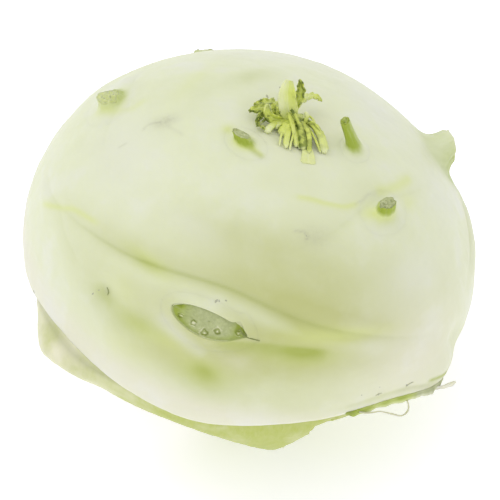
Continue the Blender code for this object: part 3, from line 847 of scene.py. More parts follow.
def add_math(tree, operation, first, second):
    """A Math node whose inputs are sockets or numbers."""
    node = add_node(tree, "ShaderNodeMath", operation=operation)
    for socket, value in zip(node.inputs, (first, second)):
        if isinstance(value, (int, float)):
            socket.default_value = value
        else:
            tree.links.new(value, socket)
    return node.outputs["Value"]


def add_mix(tree, factor, first, second):
    """Mixes two colours; each is a socket or a colour."""
    node = add_node(tree, "ShaderNodeMix", data_type="RGBA")
    for socket, value in ((node.inputs[0], factor), (node.inputs[6], first), (node.inputs[7], second)):
        if isinstance(value, bpy.types.NodeSocket):
            tree.links.new(value, socket)
        elif isinstance(value, (int, float)):
            socket.default_value = value
        else:
            socket.default_value = (*value, 1.0)
    return node.outputs[2]


def grain_group():
    """Shared by skin, rind and leaves: soft mottling, fine streaks along the growth axis, and fine pits."""
    found = bpy.data.node_groups.get("Plant grain")
    if found:
        return found
    group, source, sink = new_group(
        "Plant grain",
        tuple((size, "NodeSocketFloat") for size in GRAIN_SIZES),
        (("Mottle", "NodeSocketFloat"), ("Streaks", "NodeSocketFloat"), ("Pits", "NodeSocketFloat")),
    )
    place = add_node(group, "ShaderNodeTexCoord")
    turned = add_node(group, "ShaderNodeMapping")
    turned.inputs["Rotation"].default_value = (0.0, -LEAN, 0.0)
    turned.inputs["Scale"].default_value = (1.0, 1.0, STREAK_STRETCH)
    group.links.new(place.outputs["Object"], turned.inputs["Vector"])
    runs = (
        ("Mottle Size", "Mottle", place.outputs["Object"], 4.0),
        ("Streak Size", "Streaks", turned.outputs["Vector"], 3.0),
        ("Pit Size", "Pits", place.outputs["Object"], 2.0),
    )
    for size, result, vector, detail in runs:
        noise = add_node(group, "ShaderNodeTexNoise")
        noise.inputs["Detail"].default_value = detail
        group.links.new(vector, noise.inputs["Vector"])
        turns = add_node(group, "ShaderNodeMath", operation="DIVIDE")
        turns.inputs[0].default_value = 1.0
        group.links.new(source.outputs[size], turns.inputs[1])
        group.links.new(turns.outputs["Value"], noise.inputs["Scale"])
        group.links.new(noise.outputs["Fac"], sink.inputs[result])
    return group


def add_grain(tree, mottle, streak, pit):
    """Places the shared grain with its sizes in millimetres."""
    node = add_node(tree, "ShaderNodeGroup")
    node.node_tree = grain_group()
    for socket, size in zip(GRAIN_SIZES, (mottle, streak, pit)):
        node.inputs[socket].default_value = size * MM
    return node.outputs


def mask(tree, name):
    """A colour mask that the mesh carries."""
    return add_node(tree, "ShaderNodeAttribute", attribute_name=name).outputs["Fac"]


def own_coordinates(tree):
    """The piece's own coordinates."""
    return add_node(tree, "ShaderNodeTexCoord").outputs["Object"]


def add_masked(tree, colour, name, over):
    """Lays a colour over another one where a mask says."""
    return add_mix(tree, mask(tree, name), colour, tuple(over))


def new_material(name, specular, subsurface=0.0, radius=(1.0, 1.0, 0.4), depth=2.0):
    """A Principled material; light may scatter under its surface, to this depth in millimetres."""
    material = bpy.data.materials.new(name)
    material.use_nodes = True
    tree = material.node_tree
    shader = tree.nodes["Principled BSDF"]
    shader.inputs["Specular IOR Level"].default_value = specular
    shader.inputs["Subsurface Weight"].default_value = subsurface
    shader.inputs["Subsurface Radius"].default_value = radius
    shader.inputs["Subsurface Scale"].default_value = depth * MM
    return material, tree, shader


def add_bump(tree, shader, height, distance):
    """Small relief; distance is in millimetres."""
    bump = add_node(tree, "ShaderNodeBump")
    bump.inputs["Strength"].default_value = BUMP_STRENGTH
    bump.inputs["Distance"].default_value = distance * MM
    tree.links.new(height, bump.inputs["Height"])
    tree.links.new(bump.outputs["Normal"], shader.inputs["Normal"])


def skin_material():
    """Waxy pale skin with green hollows, cream by the lip, healed grazes, green stub sides and dried cuts."""
    found = bpy.data.materials.get("waxy_skin")
    if found:
        return found
    tone = colours()
    scatter = {"subsurface": 0.2, "radius": (1.0, 1.0, 0.5), "depth": 2.5}
    material, tree, shader = new_material("waxy_skin", specular=0.45, **scatter)
    grain = add_grain(tree, mottle=14.0, streak=1.6, pit=0.5)
    mottle = add_range(tree, grain["Mottle"], 0.3, 0.7)
    streaks = add_range(tree, grain["Streaks"], 0.35, 0.65)

    mottled = add_range(tree, grain["Mottle"], 0.35, 0.7, -0.07, 0.09)
    # The shade mask mixes in the yellower skin, partly painted shade
    shade = add_math(tree, "ADD", mask(tree, "shade"), mottled)
    colour = add_mix(tree, shade, tuple(tone.skin), tuple(tone.skin_shade))
    colour = add_masked(tree, colour, "cream", tone.skin_cream)
    patches = add_range(tree, grain["Mottle"], 0.5, 0.32, 0.0, 0.5)
    unshaded = add_range(tree, mask(tree, "shade"), 0.0, 0.5, 1.0, 0.25)
    bloom = add_math(tree, "MAXIMUM", mask(tree, "bloom"), add_math(tree, "MULTIPLY", patches, unshaded))
    colour = add_mix(tree, bloom, colour, tuple(tone.skin_bloom))
    colour = add_masked(tree, colour, "fresh", tone.skin_fresh)
    uneven = add_math(tree, "MULTIPLY", mask(tree, "green"), add_range(tree, mottle, 0.0, 1.0, 0.8, 1.15))
    colour = add_mix(tree, uneven, colour, tuple(tone.skin_green))
    fine_noise = add_noise(tree, own_coordinates(tree), scale=900.0, detail=4.0, roughness=0.7)
    fibres = add_range(tree, fine_noise, 0.4, 0.62)
    dry = add_math(tree, "MULTIPLY", mask(tree, "tan"), add_range(tree, fibres, 0.0, 1.0, 0.6, 1.0))
    colour = add_mix(tree, dry, colour, tuple(tone.scar_tan))
    face = add_mix(tree, fibres, tuple(tone.cut_dark_and_shade), tuple(tone.cut_face))
    face = add_mix(tree, 0.78, face, tuple(tone.cut_face))
    colour = add_mix(tree, mask(tree, "cut"), colour, face)
    colour = add_masked(tree, colour, "stub", tone.stub_green)
    colour = add_masked(tree, colour, "bundle", tone.bundle)
    # Dark cut edges, rings and flecks, and painted shade along the scars' upper rims
    colour = add_masked(tree, colour, "dark", tone.cut_dark_and_shade)
    tree.links.new(colour, shader.inputs["Base Color"])

    rough = add_range(tree, streaks, 0.0, 1.0, 0.42, 0.55)
    rough = add_math(tree, "ADD", rough, add_math(tree, "MULTIPLY", mask(tree, "cut"), 0.25))
    tree.links.new(rough, shader.inputs["Roughness"])
    height = add_math(tree, "ADD", add_math(tree, "MULTIPLY", grain["Pits"], 0.35), grain["Streaks"])
    add_bump(tree, shader, height, 0.12)
    return material


def rind_material():
    """Knife-cut rind: green under the skin, paler flesh further in, with fibres along the growth axis."""
    tone = colours()
    scatter = {"subsurface": 0.25, "radius": (1.0, 1.0, 0.4), "depth": 2.5}
    material, tree, shader = new_material("cut_rind", specular=0.45, **scatter)
    grain = add_grain(tree, mottle=9.0, streak=0.9, pit=0.4)
    streaks = add_range(tree, grain["Streaks"], 0.35, 0.65)
    mottled = add_range(tree, grain["Mottle"], 0.35, 0.7, -0.25, 0.2)
    pale = add_math(tree, "ADD", mask(tree, "pale"), mottled)
    colour = add_mix(tree, pale, tuple(tone.rind), tuple(tone.rind_pale))
    fine = add_math(tree, "MULTIPLY", streaks, 0.14)
    colour = add_mix(tree, fine, colour, tuple(tone.skin_cream))
    # Dark: painted shadow under the lip, and the fibre's darker tone
    colour = add_masked(tree, colour, "dark", tone.cut_dark_and_shade)
    tree.links.new(colour, shader.inputs["Base Color"])
    tree.links.new(add_range(tree, streaks, 0.0, 1.0, 0.38, 0.55), shader.inputs["Roughness"])
    height = add_math(tree, "ADD", add_math(tree, "MULTIPLY", grain["Pits"], 0.5), grain["Streaks"])
    add_bump(tree, shader, height, 0.15)
    return material


def leaf_material():
    """Young leaf and stalk: yellow-green, with dark folds and pale ribs."""
    found = bpy.data.materials.get("young_leaf")
    if found:
        return found
    tone = colours()
    scatter = {"subsurface": 0.25, "radius": (1.0, 1.0, 0.3), "depth": 1.2}
    material, tree, shader = new_material("young_leaf", specular=0.4, **scatter)
    grain = add_grain(tree, mottle=1.7, streak=0.6, pit=0.25)
    patches = add_range(tree, grain["Mottle"], 0.42, 0.62)
    spread = add_range(tree, add_math(tree, "ADD", patches, mask(tree, "dark")), 0.5, 1.4, 0.05, 1.0)
    darkness = add_math(tree, "MULTIPLY", mask(tree, "dark"), spread)
    colour = add_mix(tree, darkness, tuple(tone.leaf), tuple(tone.leaf_dark_and_shade))
    colour = add_masked(tree, colour, "pale", tone.leaf_pale)
    tree.links.new(colour, shader.inputs["Base Color"])
    tree.links.new(add_range(tree, grain["Pits"], 0.3, 0.7, 0.4, 0.6), shader.inputs["Roughness"])
    add_bump(tree, shader, grain["Pits"], 0.1)
    return material


# Pieces


def skin_masks(own):
    """The colour masks that every piece of skin shares, by place on the globe."""
    green = places(own, GREEN_PLACES)
    shade = places(own, SHADE_PLACES)
    light = places(own, PAINTED_HIGHLIGHT_PLACES)
    # Along each fold: green in the crease, partly skin colour and partly painted crease shade, painted shade
    # on the overhang above, and a painted highlight on the swelling below
    for azimuth, latitude, reach, rise, droop, depth in FOLDS:
        above, along = fold_line(own, azimuth, latitude, reach, rise, droop)
        green += depth * along * (0.2 * bell((above + 0.1) / 0.6) + 0.08 * bell(above / 1.8))
        shade += 0.25 * depth * along * bell((above - 3.0) / 4.0)
        light = np.maximum(light, 0.5 * min(1.0, depth) * along * bell((above + 3.6) / 2.4))
    light = np.minimum(light, 1.0)
    rim = ease((-own[..., 2] + 0.12) / 0.2)
    masks = {
        "green": green * (1 - 0.6 * light),
        "fresh": places(own, FRESH_PLACES),
        "bloom": places(own, BLOOM_PLACES),
        "shade": shade * (1 - light),
        "cream": np.maximum(places(own, CREAM_PLACES), 0.55 * rim),
        "tan": places(own, TAN_PLACES),
    }
    for name, strength, above, below, marks in STREAKS:
        masks[name] = masks[name] + strength * near_line(own, marks, above, below)
    return masks


def covered_share(own):
    """How far the skin sinks under the finer pieces that cover it at scars and stubs, from 0 to 1."""
    share = np.zeros(own.shape[:-1])
    for _, azimuth, latitude, _, length, upper, lower, _ in LEAF_SCARS:
        east, north, near = local_plane(own, azimuth, latitude)
        half_east, half_north = length / 2 + SUNK_MARGIN, (upper + lower) / 2 + SUNK_MARGIN
        out = np.hypot(east / half_east, (north + (lower - upper) / 2) / half_north)
        share = np.maximum(share, near * ease((1.0 - out) * 3))
    for _, azimuth, latitude, width, thickness, *_ in STALK_STUBS:
        east, north, near = local_plane(own, azimuth, latitude)
        out = np.hypot(east / (SUNK_STUB_SHARE * width), north / (SUNK_STUB_SHARE * thickness))
        share = np.maximum(share, near * ease((1.0 - out) * 3))
    return share


def make_skin():
    """The pale body: skin from the crown to the lip, and its underside."""
    columns, rows = sizes().skin_columns, sizes().skin_rows
    azimuth = np.arange(columns) * 360 / columns
    lip = lip_elevation(azimuth)
    rings = []
    for row in range(1, rows + 1):
        elevation = 90 - (90 - lip) * row / rows
        own = directions(azimuth, elevation) @ TILT
        sunk = -SUNK_DEPTH * covered_share(own)
        rounding = -LIP_ROUNDING * ease((row / rows - LIP_ROUNDING_FROM) / (1 - LIP_ROUNDING_FROM)) ** 2
        rings.append(ellipsoid_places(own, skin_relief(own) + sunk + rounding))
    edge = rings[-1]
    for share, drop in UNDERSIDE[:-1]:
        ring = MIDDLE + (edge - MIDDLE) * share
        ring[:, 2] -= drop
        rings.append(ring)
    top = skin_places(directions(0.0, 90.0) @ TILT)
    bottom = np.array([MIDDLE[0], MIDDLE[1], MIDDLE[2] - UNDERSIDE[-1][1]])
    points = np.concatenate([*rings, top[None], bottom[None]])
    count = len(rings)
    faces = [face[::-1] for face in ring_faces(count, columns)]
    faces += fan_faces(0, columns, count * columns)
    faces += fan_faces((count - 1) * columns, columns, count * columns + 1, outward=False)
    piece = new_piece("globe_skin", points, faces, skin_material(), skin_masks(own_of(points)))
    finish_piece(piece, "globe")


def knife_shares(reach):
    """The shares of each ray from the middle that the plain rind, each knife cut and the flat leave."""
    shares = [np.ones(reach.shape[:-1])]
    for azimuth, tilt, distance, start, end in KNIFE_CUTS:
        outward = directions(azimuth, -tilt)
        level = directions(azimuth + 90, 0)
        share = distance / np.maximum(reach @ outward, SMALLEST)
        side = (reach @ level) * share
        inside = ease((side - start + CUT_END / 2) / CUT_END) * ease((end - side + CUT_END / 2) / CUT_END)
        ruled = share * inside + NO_CUT * (1 - inside)
        shares.append(np.where(reach @ outward > SMALLEST, ruled, NO_CUT))
    down = -reach[..., 2]
    shares.append(np.where(down > SMALLEST, MIDDLE[2] / np.maximum(down, SMALLEST), NO_CUT))
    return np.stack(shares)


def flesh_share(azimuth, height, cut):
    """How far pale flesh shows in the rind, by azimuth, height over the ground and depth of the cut."""
    near_flap = ease((FLAP_FLESH[1] - np.abs(angle_from(azimuth, FLAP_FLESH[0]))) / FLAP_FLESH[2])
    left = ease((LEFT_FLESH[1] - angle_from(azimuth, LEFT_FLESH[0])) / LEFT_FLESH[2]) * near_flap
    behind = 1 - bell(angle_from(azimuth, FRONT_RIND[0]) / FRONT_RIND[1])
    deep_or_low = np.maximum(0.9 * ease(cut * 3.0 - 0.4), 0.5 * ease((16 - height) / 14) * behind)
    return np.maximum(0.75 * left * ease(0.75 + 6 * cut), deep_or_low)


def make_rind():
    """The rind under the lip, cut to flat faces by the knife, and the flat at the root end."""
    columns, rows = sizes().skin_columns, sizes().rind_rows
    azimuth = np.arange(columns) * 360 / columns
    lip = lip_elevation(azimuth)
    sharpness = CUT_SHARPNESS / (sizes().knife_rounding / MM)
    rings, pale, dark = [], [], []
    for row in range(rows):
        elevation = lip + RIND_OVERLAP - (RIND_OVERLAP - RIND_BOTTOM + lip) * row / (rows - 1)
        beside = angle_from(azimuth, FLAP_AT[0]) / FLAP_SIZE[0]
        flap = bell(beside) * bell((elevation - FLAP_AT[1]) / FLAP_SIZE[1])
        own = directions(azimuth, elevation) @ TILT
        plain = ellipsoid_places(own, RIND_DEPTH + FLAP_HEIGHT * flap)
        reach = plain - MIDDLE
        shares = knife_shares(reach)
        least = shares.min(axis=0)
        share = least - np.log(np.exp(-sharpness * (shares - least)).sum(axis=0)) / sharpness
        chatter = 0.06 * ripple(plain, 3.0, 11) + 0.05 * ripple(plain * (1, 1, 0.2), 1.4, 12)
        points = MIDDLE + reach * share[:, None]
        points += unit(reach) * chatter[:, None] * (points[:, 2:] > 0.6)
        points[:, 2] = np.maximum(points[:, 2], 0.0)
        rings.append(points)
        pale.append(flesh_share(azimuth, points[:, 2], 1 - share))
        # Painted shadow just under the lip, where the pale skin overhangs the rind
        dark.append(0.25 * bell((elevation - lip + 1.0) / 1.2))
    tip = np.array([MIDDLE[0], MIDDLE[1], 0.0])
    points = np.concatenate([*rings, tip[None]])
    faces = [face[::-1] for face in ring_faces(rows, columns)]
    faces += fan_faces((rows - 1) * columns, columns, rows * columns, outward=False)
    masks = {"pale": np.append(np.concatenate(pale), 1.0), "dark": np.append(np.concatenate(dark), 0.0)}
    piece = new_piece("cut_rind", points, faces, rind_material(), masks)
    finish_piece(piece, "globe")


def scar_edge(turn, length, upper, lower):
    """The outline of a leaf scar at an angle: a blunt left end, a long upper edge, a fuller lower one."""
    x = np.cos(turn) * length / 2
    t = np.clip(x / length + 0.5, 0.0, 1.0)
    arch = np.abs(np.sin(math.pi * t))
    top = upper * (arch**0.55 * (1.0 - 0.28 * t) + 0.42 * bell((t - 0.86) / 0.07))
    bottom = -lower * arch ** (0.5 + 0.3 * t) * (1.0 - 0.12 * t)
    return x, np.where(np.sin(turn) >= 0, top, bottom)


def scar_height(x, y, share, climb, azimuth, length, lower, depth):
    """Height of a scar over the skin: its bed with ringed bundle ends, its edge and its margin."""
    uneven = ripple(stacked(x, y, azimuth), 3.0, 21)
    bed = -depth * (0.5 + 0.22 * (1 - min(share, 1.0))) + 0.1 * uneven
    for at, sag, radius in BUNDLES:
        away = np.hypot(x - (at - 0.5) * length, y + sag * lower) / radius
        bed += 0.34 * bell(away / 0.5) - 0.2 * bell((away - 1.0) / 0.3)
    out = max(0.0, share - 1.0)
    lip = 0.16 * bell((out - 0.14) / 0.2) - 0.16 * ease((out - 0.55) / 0.45)
    lip = lip + 0.06 - 0.06 * ease((out - 0.7) / 0.3)
    return bed * (1 - climb) + lip * climb if share <= 1.0 else lip


def bundle_marks(x, y, length, lower):
    """How bright the cut bundle ends of a scar are, and how dark the rings round them."""
    bright, ring = np.zeros_like(x), np.zeros_like(x)
    for at, sag, radius in BUNDLES:
        side, rise = x - (at - 0.5) * length, y + sag * lower
        warp = stacked(x, y, at)
        side = side + 0.28 * ripple(warp, 1.3, 23)
        rise = rise + 0.28 * ripple(warp, 1.3, 24)
        away = np.hypot(side, rise) / (radius * (0.7 + 0.5 * (7 * at % 1)))
        half_round = 0.5 + 0.5 * np.sin(np.arctan2(rise, side) + 9 * at)
        glow = np.maximum(bell(away / 0.45), 0.8 * bell((away - 1.35) / 0.2) * half_round)
        bright = np.maximum(bright, glow)
        ring = np.maximum(ring, bell((away - 0.9) / 0.3) * (1 - 0.5 * half_round))
    return bright, ring


def scar_masks(points, x, y, share, length, lower):
    """The colour masks of a scar: dry bed, bright bundle ends in dark rings, olive ends, painted rim shade
    and highlight.
    """
    masks = skin_masks(own_of(points))
    inside = ease((1.005 - share) / 0.03)
    bright, ring = bundle_marks(x, y, length, lower)
    t = x / length + 0.5
    below = y < 0
    crumbs = ease((share - 0.92) / 0.05) * below * bell((t - 0.52) / 0.14)
    strokes = ease(0.5 + ripple(stacked(x, 0.4 * y, 0.0), 1.2, 25))
    corners = bell((t - 0.89) / 0.07) * ease((y + 1.0) / 1.2) + bell((t - 0.1) / 0.07) * bell((y - 1.1) / 0.7)
    olive = 0.85 * corners * (0.6 + 0.5 * strokes) + 0.25 * bell((t - 0.9) / 0.1)
    olive += 0.12 + 0.45 * bell((t - 0.1) / 0.14) + 0.7 * ring + 0.3 * bell((share - 0.88) / 0.12) * below
    # A painted highlight along the lower rim, and painted shade along the upper rim
    lower_rim_highlight = 0.35 * inside * ease((share - 0.94) / 0.04) * below * (t < 0.8)
    upper_rim_shade = ease((share - 0.95) / 0.04) * (0.5 * (y > 0))
    wrinkles = 0.3 * ease(ripple(stacked(0.5 * x, y, 0.0), 0.9, 26) - 0.2) * bell((t - 0.2) / 0.15)
    dark = np.maximum(np.maximum(upper_rim_shade, 0.45 * corners * strokes), np.maximum(0.75 * ring, wrinkles))
    masks["cut"] = inside
    masks["stub"] = inside * np.minimum(olive, 1.0)
    masks["bundle"] = np.maximum(inside * np.maximum(bright, 0.6 * crumbs), lower_rim_highlight)
    masks["dark"] = inside * dark * (1 - masks["bundle"])
    return masks


def make_scar(name, azimuth, latitude, turn, length, upper, lower, depth):
    """The scar of a whole leaf: a sunk bed with ringed bundle ends, a steep edge and a raised pale lip."""
    seat = Seat(azimuth, latitude, turn)
    edge_x, edge_y = scar_edge(full_turn(SCAR_COLUMNS), length, upper, lower)
    outward = unit(np.stack([edge_x / length**2, edge_y / (upper + lower) ** 2], axis=-1))
    rings, flat = [], []
    bed = [(share, 0.0) for share in np.linspace(*SCAR_BED)]
    margin = [(1.0 + step, 1.0) for step in SCAR_STEPS_OUT]
    for share, climb in [*bed, *SCAR_WALL, *margin]:
        reach = max(0.0, share - 1.0) * SCAR_MARGIN
        x = edge_x * min(share, 1.0) + outward[:, 0] * reach
        y = edge_y * min(share, 1.0) + outward[:, 1] * reach
        height = scar_height(x, y, share, climb, azimuth, length, lower, depth)
        rings.append(seat.drape(x, y, np.broadcast_to(height, x.shape)))
        flat.append(stacked(x, y, share))
    points = np.concatenate([*rings, seat.drape_middle(-depth)])
    x, y, share = np.concatenate([*flat, np.zeros((1, 3))]).T
    masks = scar_masks(points, x, y, share, length, lower)
    faces = ring_faces(len(rings), SCAR_COLUMNS)
    faces += fan_faces(0, SCAR_COLUMNS, len(points) - 1, outward=False)
    piece = new_piece("leaf_scar_" + name, points, [face[::-1] for face in faces], skin_material(), masks)
    finish_piece(piece, "globe")


def stub_masks(points, around, share, climb, looks, seed):
    """The colour masks of a stub: green ribbed sides, a paler foot and a fibrous cut with a dark edge."""
    side_green, cut_green, green_side, ragged, bare, softness, dryness = looks
    masks = skin_masks(own_of(points))
    top = (share < STUB_CUT) & (climb > 0.9)
    within = share < 0.85
    green_half = 0.5 + 0.5 * np.cos(around - math.radians(green_side))
    grains = ripple(points, 1.1, seed + 2)
    side = side_green * ease((climb - bare) / softness) * (0.25 + 0.95 * green_half)
    masks["cut"] = top * dryness
    masks["stub"] = np.where(top, cut_green * (0.55 + 0.6 * green_half), side * (1 + 0.18 * grains))
    masks["fresh"] = masks["fresh"] + 0.6 * side_green * ease(climb / 0.3) * green_half * ~top
    masks["fresh"] += 1.2 * (1 - dryness) * top * ease((grains + 0.3) / 0.8)
    rim = bell((share - 0.9) / 0.05) * (climb > 0.9)
    rim = 0.8 * rim * (0.25 + 0.7 * min(1.0, side_green)) * (0.25 + 0.75 * green_half)
    pits = top * ease((-grains - 0.6) / 0.4) * within
    masks["dark"] = np.maximum(rim, 0.45 * pits)
    speckled = min(1.0, 0.25 + ragged) * (0.3 + 0.7 * dryness) * within
    masks["bundle"] = speckled * top * ease((grains - 0.55) / 0.4)
    return masks


def make_stub(name, azimuth, latitude, width, thickness, length, lean_east, lean_north, slope):
    """The stub of a cut stalk: a foot that grows out of the skin, ribbed sides and a dried, fibrous cut."""
    ragged = STUB_LOOKS[name][3]
    seat = Seat(azimuth, latitude)
    half, flatness = width / 2, thickness / width
    lean = (math.tan(math.radians(lean_east)), math.tan(math.radians(lean_north)))
    around = full_turn(STUB_COLUMNS)
    seed = int(abs(azimuth) * 7)
    ribs = 0.035 * np.sin(around * 9 + seed) + 0.02 * np.sin(around * 17 + 2.0 * seed)
    tear = ragged * ripple(stacked(np.cos(around), np.sin(around), azimuth), 1.1, seed + 5)
    face = [(share, 0.96 - 0.05 * (1 - share)) for share in np.linspace(*STUB_FACE)]
    rings, profile = [], []
    for share, climb in [*STUB_OUTLINE, *face]:
        radius = half * share * (1 + ribs * ease(climb / 0.5))
        x = radius * np.cos(around)
        y = radius * np.sin(around) * (flatness if share < 1.5 else 1 + (flatness - 1) * 0.9)
        height = length * climb + np.zeros(STUB_COLUMNS)
        height -= slope * (half * 0.5 + y) * np.clip(climb, 0, 1)
        height += tear * ease((climb - 0.6) / 0.4) * min(1.0, share)
        if share < 0.9:
            height += (0.16 + 0.3 * ragged) * ripple(stacked(x, y, seed), 1.3, seed + 9)
        rings.append(seat.drape(x, y, height, lean))
        profile.append(stacked(around, share, climb))
    points = np.concatenate([*rings, rings[-1].mean(axis=0)[None]])
    around, share, climb = np.concatenate([*profile, [(0.0, 0.0, 0.95)]]).T
    masks = stub_masks(points, around, share, climb, STUB_LOOKS[name], seed)
    faces = ring_faces(len(rings), STUB_COLUMNS)
    faces += fan_faces((len(rings) - 1) * STUB_COLUMNS, STUB_COLUMNS, len(points) - 1)
    piece = new_piece("stub_" + name, points, faces, skin_material(), masks)
    finish_piece(piece, "globe")


def crown_places(points):
    """Points in the crown's frame, with heights over the skin, as places on the globe."""
    seat = Seat(-90, 90)
    points = np.asarray(points, float)
    out = np.hypot(points[..., 0], points[..., 1])
    rise = DIMPLE_DEPTH * (1 - bell(out / DIMPLE_RADIUS)) - GLOBE_HEIGHT / GLOBE_WIDTH**2 * out**2
    lifted = points + stacked(0.0, 0.0, rise)
    return lifted @ seat.axes.T + seat.origin


def bend(foot, middle, end, steps):
    """Points along a smooth bend through three control points, and the direction of travel at each."""
    t = np.linspace(0.0, 1.0, steps)[:, None]
    foot, middle, end = (np.asarray(point, float) for point in (foot, middle, end))
    points = foot * (1 - t) ** 2 + 2 * middle * t * (1 - t) + end * t**2
    travel = 2 * (1 - t) * (middle - foot) + 2 * t * (end - middle)
    return points, unit(travel)


def tube(points, travel, radii, columns, shape):
    """Rings of points round a run; shape gives the radius's share by angle, run and column."""
    up = np.array([0.0, 0.0, 1.0])
    side = unit(np.cross(travel, up))
    top = np.cross(side, travel)
    around = full_turn(columns)
    rings = []
    for index, (point, radius) in enumerate(zip(points, radii)):
        reach = radius * shape(around, index / (len(points) - 1))
        rings.append(
            point
            + side[index] * (reach * np.cos(around))[:, None]
            + top[index] * (reach * np.sin(around))[:, None]
        )
    return rings


def make_stalk(index, foot, middle, end, foot_radius, end_radius, darkness, paleness):
    """A small stalk of the tuft: ribbed, hollowed along its upper side, with a cut end."""
    points, travel = bend(foot, middle, end, STALK_STEPS)
    t = np.linspace(0, 1, STALK_STEPS)
    radii = foot_radius + (end_radius - foot_radius) * t
    radii = radii * (1 - 0.55 * ease((t - 0.93) / 0.07))

    def shape(around, run):
        channel = 0.2 * bell((np.sin(around) - 1) / 0.25) * math.sin(math.pi * min(1.0, run * 1.1))
        ribs = 0.05 * np.sin(around * 7 + index) + 0.03 * np.sin(around * 11 + 3 * run)
        flat = 1 + 0.22 * run * np.abs(np.cos(around)) - 0.12 * np.abs(np.sin(around))
        return flat * (1 + ribs) - channel

    rings = tube(points, travel, radii, STALK_COLUMNS, shape)
    stalk, faces = closed_tube(rings, STALK_COLUMNS, points)
    swelling = (0.12 + 0.1 * foot_radius) * ripple(stalk, 2.2, 31 + index)
    stalk += unit(stalk - stalk.mean(axis=0)) * swelling[:, None]
    run = np.concatenate([np.repeat(t, STALK_COLUMNS), [0.0, 1.0]])
    around = np.concatenate([np.tile(full_turn(STALK_COLUMNS), STALK_STEPS), [0.0, 0.0]])
    # Painted shade: each stalk is darker on its underside and at its foot among the others
    under = 0.5 - 0.5 * np.sin(around)
    masks = {
        "dark": np.clip(darkness * (0.5 + 0.6 * under) + 0.5 * bell((run - 0.03) / 0.2), 0, 1),
        "pale": np.clip(paleness * ease((run - 0.45) / 0.5) + 0.5 * ease((run - 0.93) / 0.05), 0, 1),
    }
    piece = new_piece(f"tuft_stalk_{index}", crown_places(stalk), faces, leaf_material(), masks)
    finish_piece(piece, "crown_tuft")


def leaf_width(t, lobes, side):
    """The share of a leaf's half width at t along its rib: a smooth leaf, a flat fan, or a lobed leaf."""
    if lobes == 0:
        tip = np.sqrt(np.clip(1 - (np.maximum(t - 0.45, 0) / 0.58) ** 2, 0.02, 1))
        return (0.5 + 0.5 * ease(t / 0.35)) * tip
    if lobes < 0:
        return (0.4 + 0.6 * t) * (1 - 0.3 * ease((t - 0.9) / 0.1) ** 2)
    taper = 0.25 + 0.75 * np.sin(math.pi * np.minimum(1.0, t * 0.95 + 0.05)) ** 0.7
    taper *= 1 - 0.45 * ease((t - 0.85) / 0.15)
    notch = np.abs(np.sin(math.pi * lobes * t + 0.8 * np.sign(side))) ** 1.5
    return taper * (1 - 0.34 * np.abs(side) * notch)


def make_leaf(index, foot, middle, tip, face, half_width, lobes, ruffle, cup, darkness, paleness, light_side):
    """A young leaf: a bent sheet with a rib, ruffled edges and a little thickness."""
    points, travel = bend(foot, middle, tip, LEAF_STEPS)
    across = unit(np.cross(travel, np.asarray(face, float)))
    out = np.cross(across, travel)
    points, across, out = (np.repeat(rows, LEAF_CROSS, axis=0) for rows in (points, across, out))
    t = np.repeat(np.linspace(0, 1, LEAF_STEPS), LEAF_CROSS)
    side = np.tile(np.linspace(-1, 1, LEAF_CROSS), LEAF_STEPS)
    width = half_width * leaf_width(t, lobes, side)
    edge = np.abs(side) ** 1.6
    beat = np.sin(2.6 * math.pi * max(lobes, 1) * t + 2 * side + index)
    waves = beat + 0.9 * ripple(stacked(side * half_width, t * 9.0, index * 7.0), 2.0, 41 + index)
    lift = ruffle * edge * waves * ease(t / 0.2) + cup * half_width * side**2 * ease(t / 0.3)
    rib = 0.14 * bell(side / 0.1) * (1 - t)
    veins = 0.05 * np.sin(9 * math.pi * t - 7 * np.abs(side)) * (1 - np.abs(side)) * (1 - bell(side / 0.15))
    points = points + across * (side * width)[:, None] + out * (lift + rib + veins)[:, None]

    # Painted shade of a fold on one side of the rib, near the foot of a smooth leaf
    crease = 0.6 * bell((side - 0.35) / 0.16) * (1 - ease((t - 0.25) / 0.3)) * (lobes == 0)
    pale = paleness * (1 - ease((t - 0.3) / 0.6) * (lobes >= 0)) + 0.4 * bell(side / 0.09) * (1 - 0.6 * t)
    pale += 0.75 * ease(0.3 + side * light_side) * abs(light_side) * ease((t - 0.2) / 0.3)
    # A painted highlight towards the tip of a smooth leaf
    pale += 0.35 * ease((t - 0.7) / 0.3) * (lobes == 0)
    masks = {
        "dark": darkness * (0.2 + 0.9 * edge * (0.6 + 0.4 * beat) * ease((t - 0.15) / 0.4) + crease),
        "pale": pale,
    }
    faces = sheet_faces(LEAF_STEPS, LEAF_CROSS)
    piece = new_piece(f"tuft_leaf_{index}", crown_places(points), faces, leaf_material(), masks)
    thicken(piece, sizes().leaf_thickness, 0.0)
    finish_piece(piece, "crown_tuft")


def make_tuft_core():
    """The short growing point that the tuft's stalks and leaves stand on."""
    around = full_turn(CORE_COLUMNS)
    rings = []
    for row in range(CORE_ROWS):
        t = row / (CORE_ROWS - 1)
        radius = CORE_RADIUS * (1.0 - 0.75 * ease(t) ** 1.5) * (1 + 0.12 * np.sin(around * 6 + 4 * t))
        x = radius * np.cos(around) + CORE_MIDDLE[0]
        y = radius * np.sin(around) + CORE_MIDDLE[1]
        rings.append(stacked(x, y, -0.4 + 3.4 * math.sin(0.5 * math.pi * t)))
    points = np.concatenate([*rings, rings[-1].mean(axis=0)[None]])
    last = (CORE_ROWS - 1) * CORE_COLUMNS
    faces = ring_faces(CORE_ROWS, CORE_COLUMNS) + fan_faces(last, CORE_COLUMNS, last + CORE_COLUMNS)
    spread = ripple(points, 2.2, 61)
    # The core is dark so that the gaps between the stalks show painted shade
    masks = {"dark": 0.5 + 0.4 * spread, "pale": 0.2 - 0.3 * spread}
    piece = new_piece("tuft_core", crown_places(points), faces, leaf_material(), masks)
    finish_piece(piece, "crown_tuft")


